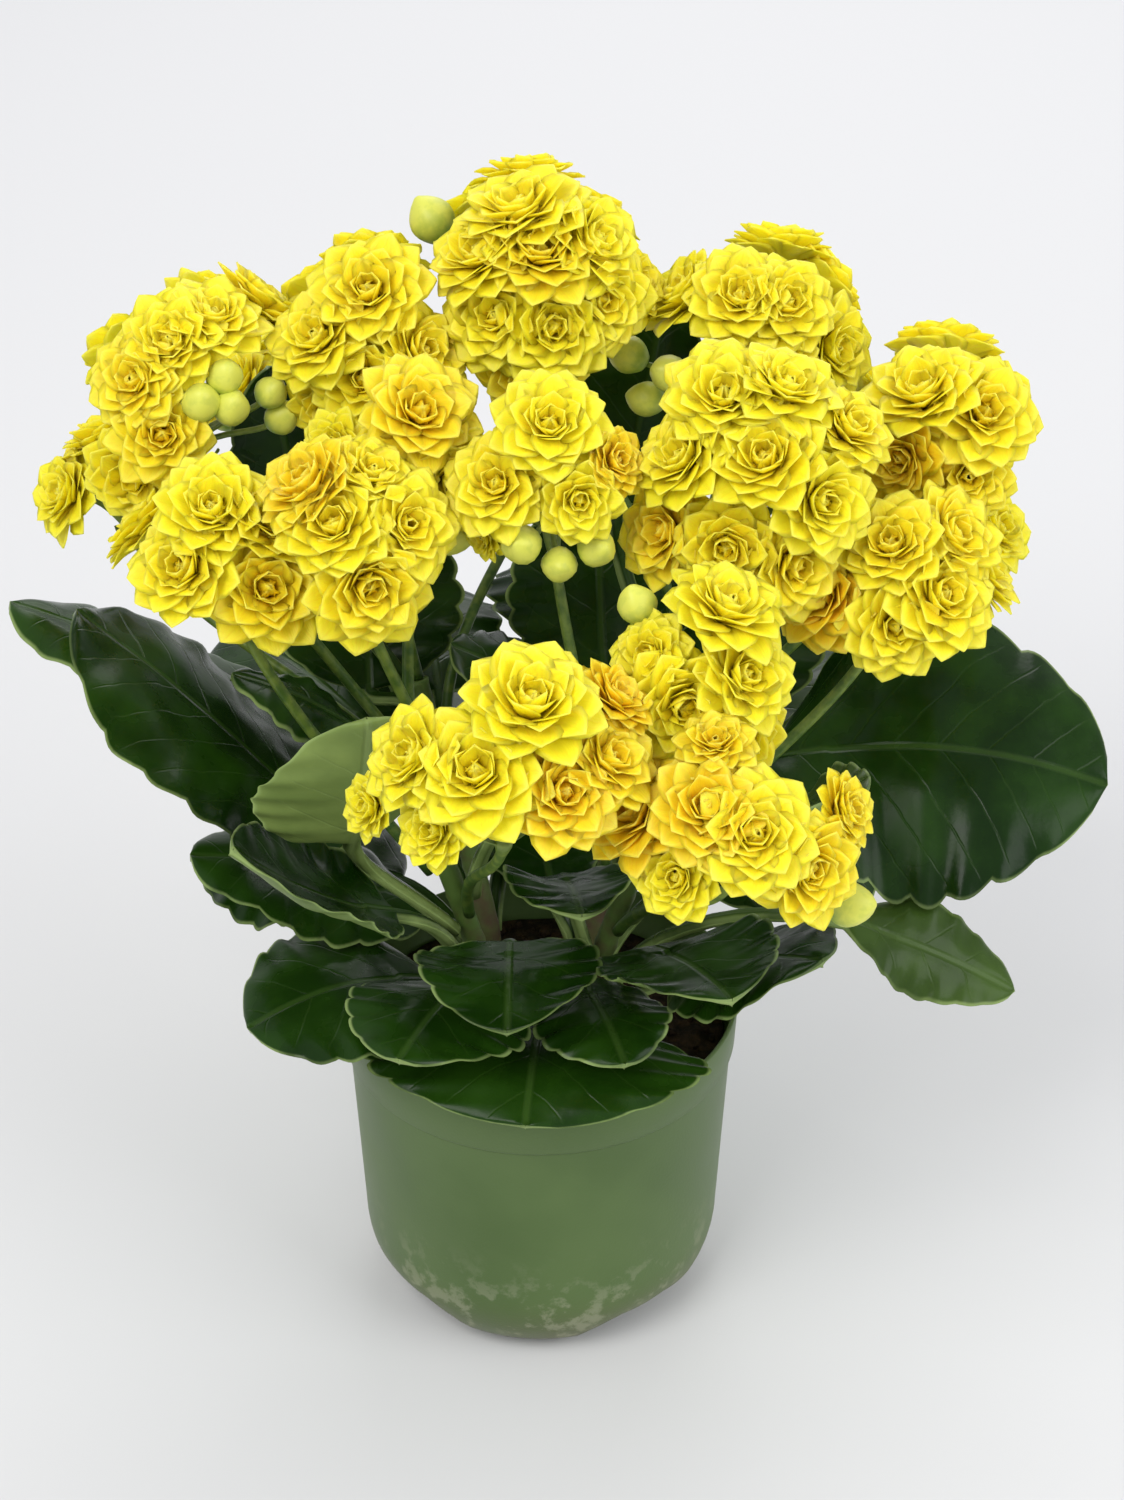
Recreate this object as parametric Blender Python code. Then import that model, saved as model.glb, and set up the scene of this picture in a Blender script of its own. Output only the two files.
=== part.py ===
"""A double-flowered kalanchoe in a thin plastic pot that is 10 cm across its rim.

The origin is the middle of the pot's underside, +Z is up and -Y is the front. The plan below is
written in millimetres and degrees, and every mesh is made in metres.
"""

import math

import bmesh
import bpy
from mathutils import Vector

MM = 0.001
GAP = 0.3
UP = Vector((0, 0, 1))

# Pot: a thin lathe-shaped shell with a stepped rim band and four raised drain pockets in its foot
RIM_RADIUS = 50.0
POT_HEIGHT = 86.5
POT_WALL = 1.2
BAND_HEIGHT = 12.5
BAND_STEP = 0.9
BAND_TAPER = 0.6
WALL_TAPER = 1.0
FOOT_RADIUS = 46.0
CORNER_WIDTH = 16.0
CORNER_HEIGHT = 22.0
CORNER_STEPS = 5
POCKET_LIFT = 6.0
POCKET_FIRST_ANGLE = -52.0
POCKET_COUNT = 4
POCKET_HALF_ANGLE = 24.0
POCKET_STEEPNESS = 1.6
POCKET_INNER_RADIUS = 24.0
DRAIN_RADIUS = 3.0
DRAIN_PLACE = 32.5
DRAIN_SIDES = 12
DRAIN_CUT_FROM = -2.0
DRAIN_CUT_TO = 14.0
POT_LIP = 0.5
INSIDE_DROP = 0.4
POT_SIDES = 40

# Soil: fills the pot to a little below the rim, highest in the middle
SOIL_EDGE = 76.0
SOIL_MIDDLE = 79.0
SOIL_GAP = 0.8
SOIL_SHOULDER = 1.5
SOIL_MOUND = ((30.0, 77.2), (15.0, 78.7))

# Plant
STEM_RADIUS = 3.0
STEM_TOP_RADIUS = 2.4
STEM_SIDES = 8
STEM_STEPS = 6
STEM_SETTLE = 0.8
TOP_GAP = 0.45
STALK_RADIUS = 1.5
STALK_TOP_RADIUS = 1.35
STALK_SIDES = 5
STALK_STEPS = 5
STALK_LEAN = 0.35
STALK_SETTLE = 0.8
FORK_DROP = 0.6
PEDICEL_RADIUS = 0.8
PEDICEL_SIDES = 4
PEDICEL_OVERLAP = 0.5
FORK_SIZE = 5.0
PETIOLE_HALF_WIDTH = 2.2
PETIOLE_HALF_DEPTH = 1.6
LEAF_THICKNESS = 2.0
LEAF_EDGE_THICKNESS = 1.2
LEAF_FLAT_SHARE = 0.45
LEAF_TIP_HALF_WIDTH = 0.8
FLOWER_SIZE = 27.0
FLOWER_SPREAD = 0.36
FLOWER_DEPTH = 8.0
FLOWER_RIM = 0.5
FLOWER_CROWN = 2.5
FLOWER_CROWN_SPREAD = 0.7
FLOWER_FOOT_RADIUS = 1.4
FLOWER_FOOT_OVERLAP = 1.0
FLOWER_LIFT = 0.35
FLOWER_SIDES = 6
BUD_LIFT = 0.8
BUD_FOOT_OVERLAP = 0.8
BUD_SIDES = 5
SEED_SIZE = 0.6

# Main stems: foot on the soil (x, y) and top (x, y, z)
STEMS = {
    "left_back": ((-12, 13), (-30, 30, 160)),
    "right_back": ((12, 13), (32, 30, 162)),
    "left_front": ((-12, -9), (-27, -14, 152)),
    "right_front": ((12, -9), (28, -16, 152)),
}

# Flower heads: the stem that carries each, how high on it the stalk starts (0 to 1), the head's
# middle, its radius, and its flowers and buds. Each of those stands on the head's ball at an azimuth
# (-90 is the front, 0 the right) and an elevation, and ends with its width. A bud's fourth number is
# its distance from the middle in ball radii.
HEADS = {
    "top": (
        "right_back", 1.0, (-1, 42, 261), 25,
        ((-105, 65, 34), (-125, 35, 30), (-85, 40, 31), (-45, 40, 31), (-110, 5, 30), (-80, 0, 31),
         (-50, 10, 28), (-90, -25, 30), (95, 55, 30), (60, 20, 29), (120, 20, 29), (-20, 8, 22)),
        ((170, 30, 10.5, 1.1),),
    ),
    "back_right": (
        "right_back", 0.8, (50, 42, 249), 21,
        ((-160, 35, 27), (-105, 45, 29), (-65, 40, 27), (-30, 0, 29), (-80, 5, 25), (60, 50, 29),
         (90, 10, 27), (30, 20, 27)),
        ((-175, -10, 9, 1.4), (-150, -15, 9, 1.1), (-115, -20, 9, 1.05), (-165, -30, 8.5, 1.4)),
    ),
    "right": (
        "right_back", 0.62, (92, 18, 235), 20,
        ((-115, 50, 31), (-60, 35, 31), (-120, 5, 27), (-130, -25, 25), (-75, -5, 25), (80, 45, 29),
         (38, 10, 27)),
        ((-155, 25, 8.5, 1.1), (-95, -20, 9, 1.1)),
    ),
    "right_low": (
        "right_front", 0.7, (79, -12, 213), 21,
        ((-30, 45, 29), (-95, 50, 28), (-60, 15, 31), (-90, 0, 28), (-140, 10, 29), (-5, 10, 27)),
        ((-135, 50, 8, 1.1),),
    ),
    "centre_right": (
        "right_front", 1.0, (49, -3, 237), 30,
        ((-120, 55, 31), (-70, 60, 29), (-40, 35, 25), (-130, 25, 28), (-90, 30, 30), (-65, 10, 29),
         (-135, -10, 28), (-105, -10, 28), (-75, -20, 29)),
        (),
    ),
    "front_upper": (
        "right_front", 0.85, (35, -45, 211), 22,
        ((-60, 60, 31), (-125, 30, 21), (-100, 5, 32), (-65, 20, 28), (-70, -15, 27)),
        ((-155, 50, 8.5, 1.05),),
    ),
    "front_left": (
        "left_front", 0.55, (-7, -66, 198), 32,
        ((-70, 55, 34), (-100, 30, 34), (-115, 5, 20), (-150, 0, 17), (-130, 30, 27), (-65, 20, 29),
         (-15, 40, 22), (-40, 25, 27)),
        (),
    ),
    "front_right": (
        "right_front", 0.5, (43, -70, 188), 27,
        ((-150, 20, 31), (-110, 35, 29), (-85, 25, 31), (-60, 5, 29), (-30, 20, 20), (-120, 65, 20),
         (-120, 0, 22)),
        ((-24, -32, 10, 1.15),),
    ),
    "left_low": (
        "left_front", 0.7, (-69, -15, 220), 20,
        ((-100, 60, 30), (-115, 20, 29), (-60, 5, 31), (-40, 45, 28), (170, 20, 27)),
        (),
    ),
    "left_inner": (
        "left_front", 0.85, (-40, -20, 228), 22,
        ((-80, 0, 32), (-135, 55, 29), (-100, 35, 29), (-50, 30, 28), (-60, 65, 25)),
        (),
    ),
    "left": (
        "left_back", 0.65, (-82, 28, 240), 27,
        ((20, 45, 30), (-50, 60, 28), (-90, 50, 29), (-110, 30, 27), (-95, 5, 27), (-112, -20, 29),
         (80, 20, 29), (125, 0, 28)),
        ((-60, 30, 8.5, 1.0), (-75, 20, 9, 1.0), (-60, 15, 8.5, 1.0), (-35, 15, 7.5, 1.0),
         (-30, 0, 8, 1.0)),
    ),
    "back_left": (
        "left_back", 1.0, (-39, 33, 250), 23,
        ((-120, 25, 30), (-85, 55, 31), (-55, 15, 28), (-90, 5, 29), (-112, -15, 22), (90, 30, 29),
         (120, 5, 28)),
        ((-95, -25, 7.5, 1.0),),
    ),
    "centre_left": (
        "left_front", 1.0, (-29, 0, 239), 21,
        ((-75, 50, 31), (-105, 10, 27), (-60, 5, 29), (-140, 20, 20)),
        ((-60, -30, 10, 1.1),),
    ),
    "centre": (
        "right_front", 0.6, (3, -8, 239), 24,
        ((-90, 50, 29), (-120, 15, 27), (-75, 10, 22), (-130, -20, 13), (-50, 25, 19)),
        ((-105, -15, 9, 1.05), (-85, -30, 8, 1.05), (-65, -20, 8.5, 1.05)),
    ),
    "far_left": (
        "left_back", 0.42, (-58, 84, 200), 24,
        ((100, 75, 30), (40, 35, 28), (90, 25, 30), (140, 30, 29), (-170, 40, 28), (110, -10, 27)),
        ((65, -5, 9, 1.05), (155, 0, 8, 1.1)),
    ),
    "far_back": (
        "left_back", 0.8, (4, 94, 212), 25,
        ((90, 80, 31), (30, 35, 29), (75, 20, 30), (120, 30, 29), (165, 35, 28), (100, -10, 27)),
        ((50, -5, 9, 1.05), (140, -5, 8.5, 1.05)),
    ),
    "far_right": (
        "right_back", 0.45, (66, 84, 194), 24,
        ((80, 75, 30), (15, 35, 28), (60, 25, 30), (105, 30, 29), (150, 35, 27), (80, -10, 26)),
        ((35, -5, 9, 1.05), (125, -5, 8, 1.1)),
    ),
    "left_back_low": (
        "left_back", 0.58, (-100, 58, 194), 19,
        ((150, 65, 28), (-160, 20, 27), (150, 5, 28), (95, 30, 26)),
        ((125, -10, 8.5, 1.1),),
    ),
    "right_back_low": (
        "right_back", 0.25, (96, 58, 184), 19,
        ((30, 65, 28), (-20, 20, 27), (35, 5, 28), (85, 30, 26)),
        ((60, -10, 8.5, 1.1),),
    ),
}

# Leaves: stem, height of the stalk's foot on it (0 to 1), start and tip of the blade, width, how far
# the midrib bows up, how far the margins turn up (below 0, down), and the roll about the midrib
LEAVES = {
    "far_left": ("left_back", 0.43, (-62, 38, 140), (-133, 48, 171), 46, 4, -4, 10),
    "left_large": ("left_front", 0.42, (-48, -4, 134), (-110, 12, 190), 74, 4, -5, 12),
    "left_middle": ("left_back", 0.82, (-38, 7, 155), (-73, 4, 177), 26, 3, -3, 0),
    "left_lobe": ("left_back", 0.16, (-29, 9, 104), (-86, 2, 126), 50, 5, -3, 0),
    "left_upright": ("left_front", 0.5, (-43, -33, 156), (-37, -50, 199), 48, -4, 4, 0),
    "left_cupped": ("left_front", 0.28, (-34, -37, 137), (-68, -54, 167), 44, -3, 5, 0),
    "front_left_rim": ("left_front", 0.08, (-26, -20, 104), (-69, -41, 106), 58, 6, -2, 0),
    "front_rim": ("right_front", 0.05, (1, -28, 100), (-3, -67, 98), 84, 5, -2, 0),
    "front_inner": ("left_front", 0.2, (-7, -28, 121), (-7, -65, 124), 44, 3, 5, 0),
    "front_middle": ("right_front", 0.35, (6, -24, 138), (10, -56, 150), 32, 2, 4, 0),
    "front_right_inner": ("right_front", 0.2, (27, -29, 120), (44, -65, 133), 44, 3, 4, 0),
    "right_front_low": ("right_front", 0.1, (35, -22, 108), (66, -45, 129), 48, 3, -2, 0),
    "right_large": ("right_back", 0.4, (54, 4, 152), (136, -4, 151), 78, 8, -5, 35),
    "right_narrow": ("right_front", 0.3, (72, -32, 131), (113, -34, 112), 24, 2, -1, 35),
    "right_small": ("right_front", 0.55, (50, -34, 158), (72, -52, 180), 32, 2, 3, 0),
    "middle_inner": ("left_front", 0.6, (-6, -26, 158), (4, -46, 170), 38, 2, 4, 0),
    "front_left_inner": ("left_front", 0.12, (-16, -29, 112), (-32, -64, 115), 46, 3, -3, 0),
    "front_low_middle": ("right_front", 0.16, (10, -29, 111), (20, -62, 112), 34, 3, -2, 0),
    "middle_back": ("right_back", 0.78, (12, 26, 148), (-22, 26, 172), 44, 3, -3, 0),
    "upright_middle": ("right_back", 0.92, (16, 37, 154), (14, 64, 198), 48, -3, 3, 0),
    "upright_left": ("left_back", 0.9, (-43, 40, 151), (-45, 66, 196), 50, -3, 3, 0),
    "upright_right": ("right_back", 0.72, (48, 34, 147), (52, 61, 191), 46, -3, 3, 0),
    "inner_middle": ("right_back", 0.1, (3, 20, 103), (-4, 56, 128), 38, -3, 3, 0),
    "high_middle": ("right_back", 0.96, (20, 52, 198), (31, 70, 246), 42, -3, 3, 0),
    "high_left": ("left_back", 0.97, (-58, 52, 186), (-66, 62, 230), 40, -3, 3, 0),
    "back_left": ("left_back", 0.3, (-40, 48, 128), (-84, 94, 134), 60, 6, -4, 0),
    "back_middle": ("left_back", 0.15, (-10, 42, 110), (-18, 104, 116), 62, 7, -4, 0),
    "back_right": ("right_back", 0.34, (42, 46, 126), (88, 90, 132), 60, 6, -4, 0),
    "back_upper": ("right_back", 0.5, (10, 50, 158), (18, 106, 158), 58, 5, -5, 0),
    "back_upper_left": ("left_back", 0.6, (-26, 50, 144), (-34, 106, 148), 40, 4, -4, 0),
    "right_back_rim": ("right_back", 0.08, (38, 22, 106), (88, 40, 100), 56, 5, -3, 0),
    "left_back_rim": ("left_back", 0.05, (-36, 28, 100), (-88, 46, 94), 56, 5, -3, 0),
    "back_rim": ("right_back", 0.04, (14, 34, 98), (24, 80, 90), 56, 5, -3, 0),
}
LEAF_STATIONS = (0.0, 0.1, 0.22, 0.34, 0.46, 0.58, 0.7, 0.8, 0.89, 0.96, 1.0)
LEAF_LOBES = 5
LEAF_LOBE_DEPTH = 0.07
LEAF_LENGTH_POWER = 0.92
LEAF_FULLNESS_POWER = 0.53
PETIOLE_STEPS = 4

COLOURS = {
    "pot_green": ((0.107, 0.171, 0.058), 0.45),
    "soil_brown": ((0.022, 0.013, 0.008), 0.95),
    "stem_green": ((0.085, 0.13, 0.035), 0.55),
    "leaf_green": ((0.016, 0.05, 0.01), 0.35),
    "flower_yellow": ((0.95, 0.76, 0.02), 0.6),
}


def clear_scene():
    for item in list(bpy.data.objects):
        bpy.data.objects.remove(item, do_unlink=True)


def material(name):
    """The named plain material, made once."""
    found = bpy.data.materials.get(name)
    if found:
        return found
    colour, roughness = COLOURS[name]
    made = bpy.data.materials.new(name)
    made.use_nodes = True
    shader = made.node_tree.nodes["Principled BSDF"]
    shader.inputs["Base Color"].default_value = (*colour, 1.0)
    shader.inputs["Roughness"].default_value = roughness
    shader.inputs["Metallic"].default_value = 0.0
    return made


def add_loft(mesh, rings):
    """A closed skin through the rings, which turn counter-clockwise seen against their travel."""
    rows = [[mesh.verts.new(point * MM) for point in ring] for ring in rings]
    for lower, upper in zip(rows, rows[1:]):
        for index in range(len(lower)):
            after = (index + 1) % len(lower)
            mesh.faces.new((lower[index], lower[after], upper[after], upper[index]))
    mesh.faces.new(list(reversed(rows[0])))
    mesh.faces.new(rows[-1])


def as_object(name, mesh, colour, sharp=None):
    """The bmesh as a named object, triangulated and shaded smooth."""
    bmesh.ops.triangulate(mesh, faces=[face for face in mesh.faces if len(face.verts) > 4])
    data = bpy.data.meshes.new(name)
    mesh.to_mesh(data)
    mesh.free()
    data.materials.append(material(colour))
    data.shade_smooth()
    if sharp:
        data.set_sharp_from_angle(angle=math.radians(sharp))
    item = bpy.data.objects.new(name, data)
    bpy.context.scene.collection.objects.link(item)
    return item


def side_axes(direction):
    """Two unit vectors across a direction; the first lies level."""
    level = UP.cross(direction)
    if level.length < 0.05:
        level = Vector((1, 0, 0))
    level.normalize()
    return level, direction.cross(level).normalized()


def circle(middle, direction, radius, sides):
    """Points round a direction, counter-clockwise seen against it."""
    across, over = side_axes(direction)
    turns = [2 * math.pi * index / sides for index in range(sides)]
    return [middle + across * (radius * math.cos(turn)) + over * (radius * math.sin(turn)) for turn in turns]


def bend(start, start_pull, end, end_pull, steps):
    """Points along a smooth curve that leaves start along start_pull and arrives along end_pull."""
    points = []
    for index in range(steps + 1):
        t = index / steps
        points.append(
            start * (2 * t**3 - 3 * t**2 + 1)
            + start_pull * (t**3 - 2 * t**2 + t)
            + end * (3 * t**2 - 2 * t**3)
            + end_pull * (t**3 - t**2)
        )
    return points


def headings(points):
    """The curve's direction at each of its points."""
    last = len(points) - 1
    return [(points[min(i + 1, last)] - points[max(i - 1, 0)]).normalized() for i in range(last + 1)]


def add_tube(mesh, points, first_radius, last_radius, sides):
    steps = len(points) - 1
    rings = []
    for index, (point, direction) in enumerate(zip(points, headings(points))):
        radius = first_radius + (last_radius - first_radius) * index / steps
        rings.append(circle(point, direction, radius, sides))
    add_loft(mesh, rings)


def toward(azimuth, elevation):
    """The unit vector at an azimuth and an elevation in degrees."""
    turn, rise = math.radians(azimuth), math.radians(elevation)
    return Vector((math.cos(turn) * math.cos(rise), math.sin(turn) * math.cos(rise), math.sin(rise)))


def pocket_share(turn):
    """How much of its full lift the foot's ring has at an angle, to form the drain pockets."""
    step = 360.0 / POCKET_COUNT
    away = abs((math.degrees(turn) - POCKET_FIRST_ANGLE + step / 2) % step - step / 2)
    return max(0.0, min(1.0, POCKET_STEEPNESS * (1 - away / POCKET_HALF_ANGLE)))


def foot_curve(inset):
    """The pot's side below its rim band, pushed in by an inset, as (radius, height, share of lift)."""
    points = [(FOOT_RADIUS - inset + WALL_TAPER, POT_HEIGHT / 2, 0)]
    for index in range(CORNER_STEPS + 1):
        angle = math.pi / 2 * index / CORNER_STEPS
        radius = FOOT_RADIUS - CORNER_WIDTH + (CORNER_WIDTH - inset) * math.cos(angle)
        height = CORNER_HEIGHT - (CORNER_HEIGHT - inset) * math.sin(angle)
        points.append((radius, height, math.sin(angle) ** 2))
    points.append((POCKET_INNER_RADIUS, inset, 0))
    return points


def turned(mesh, profile, lift):
    """A skin turned about Z from a profile that starts and ends on the axis, raised at the pockets.

    The triangles of neighbouring rings always lean the same way, so that the soil follows the pot.
    """
    rows = []
    for radius, height, share in profile[1:-1]:
        row = []
        for index in range(POT_SIDES):
            turn = 2 * math.pi * index / POT_SIDES
            raised = height + lift * share * pocket_share(turn)
            point = Vector((radius * math.cos(turn), radius * math.sin(turn), raised))
            row.append(mesh.verts.new(point * MM))
        rows.append(row)
    first = mesh.verts.new(Vector((0, 0, profile[0][1])) * MM)
    last = mesh.verts.new(Vector((0, 0, profile[-1][1])) * MM)
    for index in range(POT_SIDES):
        after = (index + 1) % POT_SIDES
        mesh.faces.new((first, rows[0][after], rows[0][index]))
        mesh.faces.new((last, rows[-1][index], rows[-1][after]))
        for outer, inner in zip(rows, rows[1:]):
            near, far = sorted((outer, inner), key=lambda row: row[0].co.x)
            mesh.faces.new((near[index], near[after], far[after]))
            mesh.faces.new((near[index], far[after], far[index]))


def build_pot():
    """The pot's shell, with a drain hole in each pocket."""
    band_foot = POT_HEIGHT - BAND_HEIGHT
    outer = foot_curve(0.0)
    inner = foot_curve(POT_WALL)
    band = RIM_RADIUS - BAND_TAPER
    outside = [
        (RIM_RADIUS - POT_LIP, POT_HEIGHT, 0),
        (RIM_RADIUS, POT_HEIGHT - POT_LIP, 0),
        (band, band_foot + BAND_STEP, 0),
        (band - BAND_STEP, band_foot, 0),
    ]
    inside = [(radius - POT_WALL, height - INSIDE_DROP, 0) for radius, height, _share in outside[1:]]
    profile = [(0, 0, 0)] + outer[::-1] + outside[::-1] + inside + inner + [(0, POT_WALL, 0)]
    mesh = bmesh.new()
    turned(mesh, profile, POCKET_LIFT)
    bmesh.ops.recalc_face_normals(mesh, faces=mesh.faces)
    pot = as_object("pot", mesh, "pot_green", sharp=35)
    for index in range(POCKET_COUNT):
        turn = POCKET_FIRST_ANGLE + 360 * index / POCKET_COUNT
        place = toward(turn, 0) * DRAIN_PLACE
        cutter_mesh = bmesh.new()
        ends = [place + UP * DRAIN_CUT_FROM, place + UP * DRAIN_CUT_TO]
        add_tube(cutter_mesh, ends, DRAIN_RADIUS, DRAIN_RADIUS, DRAIN_SIDES)
        cutter = as_object(f"drain_cutter_{index + 1}", cutter_mesh, "pot_green")
        cutter.hide_render = True
        cutter.display_type = "WIRE"
        hole = pot.modifiers.new(f"drain_{index + 1}", "BOOLEAN")
        hole.operation = "DIFFERENCE"
        hole.solver = "EXACT"
        hole.object = cutter


def build_soil():
    """The potting soil: the pot's inside less a hair, with a low mound on top."""
    inset = POT_WALL + SOIL_GAP
    edge = RIM_RADIUS - BAND_TAPER - BAND_STEP - inset
    profile = [(0, inset, 0)] + foot_curve(inset)[::-1]
    profile += [(edge, SOIL_EDGE - SOIL_SHOULDER, 0), (edge - SOIL_SHOULDER, SOIL_EDGE, 0)]
    profile += [(radius, height, 0) for radius, height in SOIL_MOUND]
    profile += [(0, SOIL_MIDDLE, 0)]
    mesh = bmesh.new()
    turned(mesh, profile, POCKET_LIFT + SOIL_GAP)
    bmesh.ops.recalc_face_normals(mesh, faces=mesh.faces)
    as_object("soil", mesh, "soil_brown")


def stem_line(name):
    """The main stem's middle line, from just above the soil to its top."""
    foot, top = STEMS[name]
    start = Vector((*foot, SOIL_MIDDLE + GAP))
    end = Vector(top)
    return bend(start, UP * (end.z - start.z), end, (end - start) * STEM_SETTLE, STEM_STEPS)


def on_stem(name, share):
    """The stem's middle and direction at a share of its height."""
    line = stem_line(name)
    place = share * (len(line) - 1)
    index = min(int(place), len(line) - 2)
    point = line[index].lerp(line[index + 1], place - index)
    return point, (line[index + 1] - line[index]).normalized()


def beside_stem(name, share, goal, own_radius):
    """Where a stalk starts beside its stem, on the side that faces its goal."""
    point, direction = on_stem(name, share)
    if share >= 1.0:
        return point + direction * TOP_GAP, direction
    outward = goal - point
    outward -= direction * outward.dot(direction)
    outward.normalize()
    radius = STEM_RADIUS + (STEM_TOP_RADIUS - STEM_RADIUS) * share
    lean = (direction + outward * STALK_LEAN).normalized()
    return point + outward * (radius + GAP + own_radius), lean


def build_stems():
    for name in STEMS:
        mesh = bmesh.new()
        add_tube(mesh, stem_line(name), STEM_RADIUS, STEM_TOP_RADIUS, STEM_SIDES)
        as_object(f"stem_{name}", mesh, "stem_green")


def leaf_outline(t):
    """Half the blade's width, from 0 to 1, at a share t of its length."""
    body = 0.0
    if 0 < t < 1:
        body = math.sin(math.pi * t**LEAF_LENGTH_POWER) ** LEAF_FULLNESS_POWER
    lobe = 1 - LEAF_LOBE_DEPTH * (1 - abs(math.sin(math.pi * LEAF_LOBES * t)))
    return max(0.0, body * lobe)


def leaf_ring(point, along, across, half_width, depth, edge_depth, turn_up):
    """Six points round a flat section of a leaf, thick at the midrib and thin at the margins."""
    normal = across.cross(along).normalized()
    ring = []
    flat = LEAF_FLAT_SHARE
    for side, level in ((1, 0), (flat, 1), (-flat, 1), (-1, 0), (-flat, -1), (flat, -1)):
        half = depth / 2 if abs(side) < 1 else edge_depth / 2
        lift = turn_up * side * side
        ring.append(point + across * (half_width * side) + normal * (level * half + lift))
    return ring


def build_leaf(name):
    """A leaf with its stalk, one skin through flat sections."""
    stem, share, start, tip, width, bow, turn_up, roll = LEAVES[name]
    start, tip = Vector(start), Vector(tip)
    foot, foot_direction = beside_stem(stem, share, start, PETIOLE_HALF_DEPTH)
    reach = (start - foot).length
    pull = (tip - start) + UP * (4 * bow)
    stalk = bend(foot, foot_direction * reach, start, pull.normalized() * reach, PETIOLE_STEPS)
    rings = []
    for index, (point, along) in enumerate(zip(stalk, headings(stalk))):
        if index == PETIOLE_STEPS:
            break  # the blade's own first section stands here
        across, _over = side_axes(along)
        rings.append(leaf_ring(point, along, -across, PETIOLE_HALF_WIDTH, PETIOLE_HALF_DEPTH * 2,
                               PETIOLE_HALF_DEPTH, 0))
    blade = []
    for t in LEAF_STATIONS:
        blade.append(start.lerp(tip, t) + UP * (4 * bow * t * (1 - t)))
    for t, point, along in zip(LEAF_STATIONS, blade, headings(blade)):
        level, over = side_axes(along)
        lean = math.radians(roll) * min(1.0, 3 * t)
        across = -(level * math.cos(lean) + over * math.sin(lean))
        outline = leaf_outline(t)
        half = max(PETIOLE_HALF_WIDTH * (1 - t), width / 2 * outline, LEAF_TIP_HALF_WIDTH)
        depth = LEAF_THICKNESS + (PETIOLE_HALF_DEPTH * 2 - LEAF_THICKNESS) * max(0.0, 1 - 4 * t)
        rings.append(leaf_ring(point, along, across, half, depth, LEAF_EDGE_THICKNESS, turn_up * outline))
    mesh = bmesh.new()
    add_loft(mesh, rings)
    bmesh.ops.recalc_face_normals(mesh, faces=mesh.faces)
    as_object(f"leaf_{name}", mesh, "leaf_green")


def add_flower(mesh, face, out, size):
    """A plain open flower: a cone from its stalk to its widest ring, and a low crown."""
    radius = size * FLOWER_SPREAD
    depth = FLOWER_DEPTH * size / FLOWER_SIZE
    add_loft(mesh, [
        circle(face - out * depth, out, FLOWER_FOOT_RADIUS, FLOWER_SIDES),
        circle(face - out * FLOWER_RIM, out, radius, FLOWER_SIDES),
        circle(face + out * FLOWER_CROWN, out, radius * FLOWER_CROWN_SPREAD, FLOWER_SIDES),
    ])


def add_bud(mesh, middle, out, size):
    """A round closed bud."""
    radius = size / 2
    add_loft(mesh, [
        circle(middle - out * radius, out, radius * 0.4, BUD_SIDES),
        circle(middle - out * radius * 0.1, out, radius, BUD_SIDES),
        circle(middle + out * radius * 0.8, out, radius * 0.5, BUD_SIDES),
    ])


def add_pedicel(mesh, fork, base):
    """The short stalk from a fork to the base of one flower or bud."""
    start = fork - (base - fork).normalized() * PEDICEL_OVERLAP
    add_tube(mesh, [start, base], PEDICEL_RADIUS, PEDICEL_RADIUS, PEDICEL_SIDES)


def build_head(name):
    """A flower head: its stalk, the flower stalks that branch from it, its flowers and its buds."""
    stem, share, middle, radius, flowers, buds = HEADS[name]
    middle = Vector(middle)
    fork = middle - UP * (radius * FORK_DROP)
    foot, foot_direction = beside_stem(stem, share, fork, STALK_RADIUS)
    reach = (fork - foot).length
    arrive = ((fork - foot).normalized() + UP).normalized()
    stalk = bend(foot, foot_direction * reach, fork, arrive * (reach * STALK_SETTLE), STALK_STEPS)
    mesh = bmesh.new()
    add_tube(mesh, stalk, STALK_RADIUS, STALK_TOP_RADIUS, STALK_SIDES)
    add_bud(mesh, fork, arrive, FORK_SIZE)
    for azimuth, elevation, size in flowers:
        out = toward(azimuth, elevation)
        face = middle + out * radius
        out = (out + UP * FLOWER_LIFT).normalized()
        base = face - out * (FLOWER_DEPTH * size / FLOWER_SIZE - FLOWER_FOOT_OVERLAP)
        add_pedicel(mesh, fork, base)
        add_flower(mesh, face, out, size)
    for azimuth, elevation, size, distance in buds:
        out = toward(azimuth, elevation)
        place = middle + out * (radius * distance)
        out = (out + UP * BUD_LIFT).normalized()
        base = place - out * (size / 2 - BUD_FOOT_OVERLAP)
        add_pedicel(mesh, fork, base)
        add_bud(mesh, place, out, size)
    head = as_object(f"flower_head_{name}", mesh, "flower_yellow")
    join_shells(head)


def join_shells(item):
    """Turns an object's overlapping closed shells into one body, with a tiny shell to join them to."""
    seed_mesh = bmesh.new()
    first = item.data.vertices[0].co / MM
    add_tube(seed_mesh, [first, first + UP * SEED_SIZE], SEED_SIZE / 2, SEED_SIZE / 2, 3)
    seed = as_object(f"{item.name}_seed", seed_mesh, "flower_yellow")
    join = item.modifiers.new("join", "BOOLEAN")
    join.operation = "UNION"
    join.solver = "EXACT"
    join.use_self = True
    join.object = seed
    bpy.context.view_layer.update()
    shape = item.evaluated_get(bpy.context.evaluated_depsgraph_get())
    joined = bpy.data.meshes.new_from_object(shape)
    item.modifiers.clear()
    item.data = joined
    bpy.data.objects.remove(seed, do_unlink=True)


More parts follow.
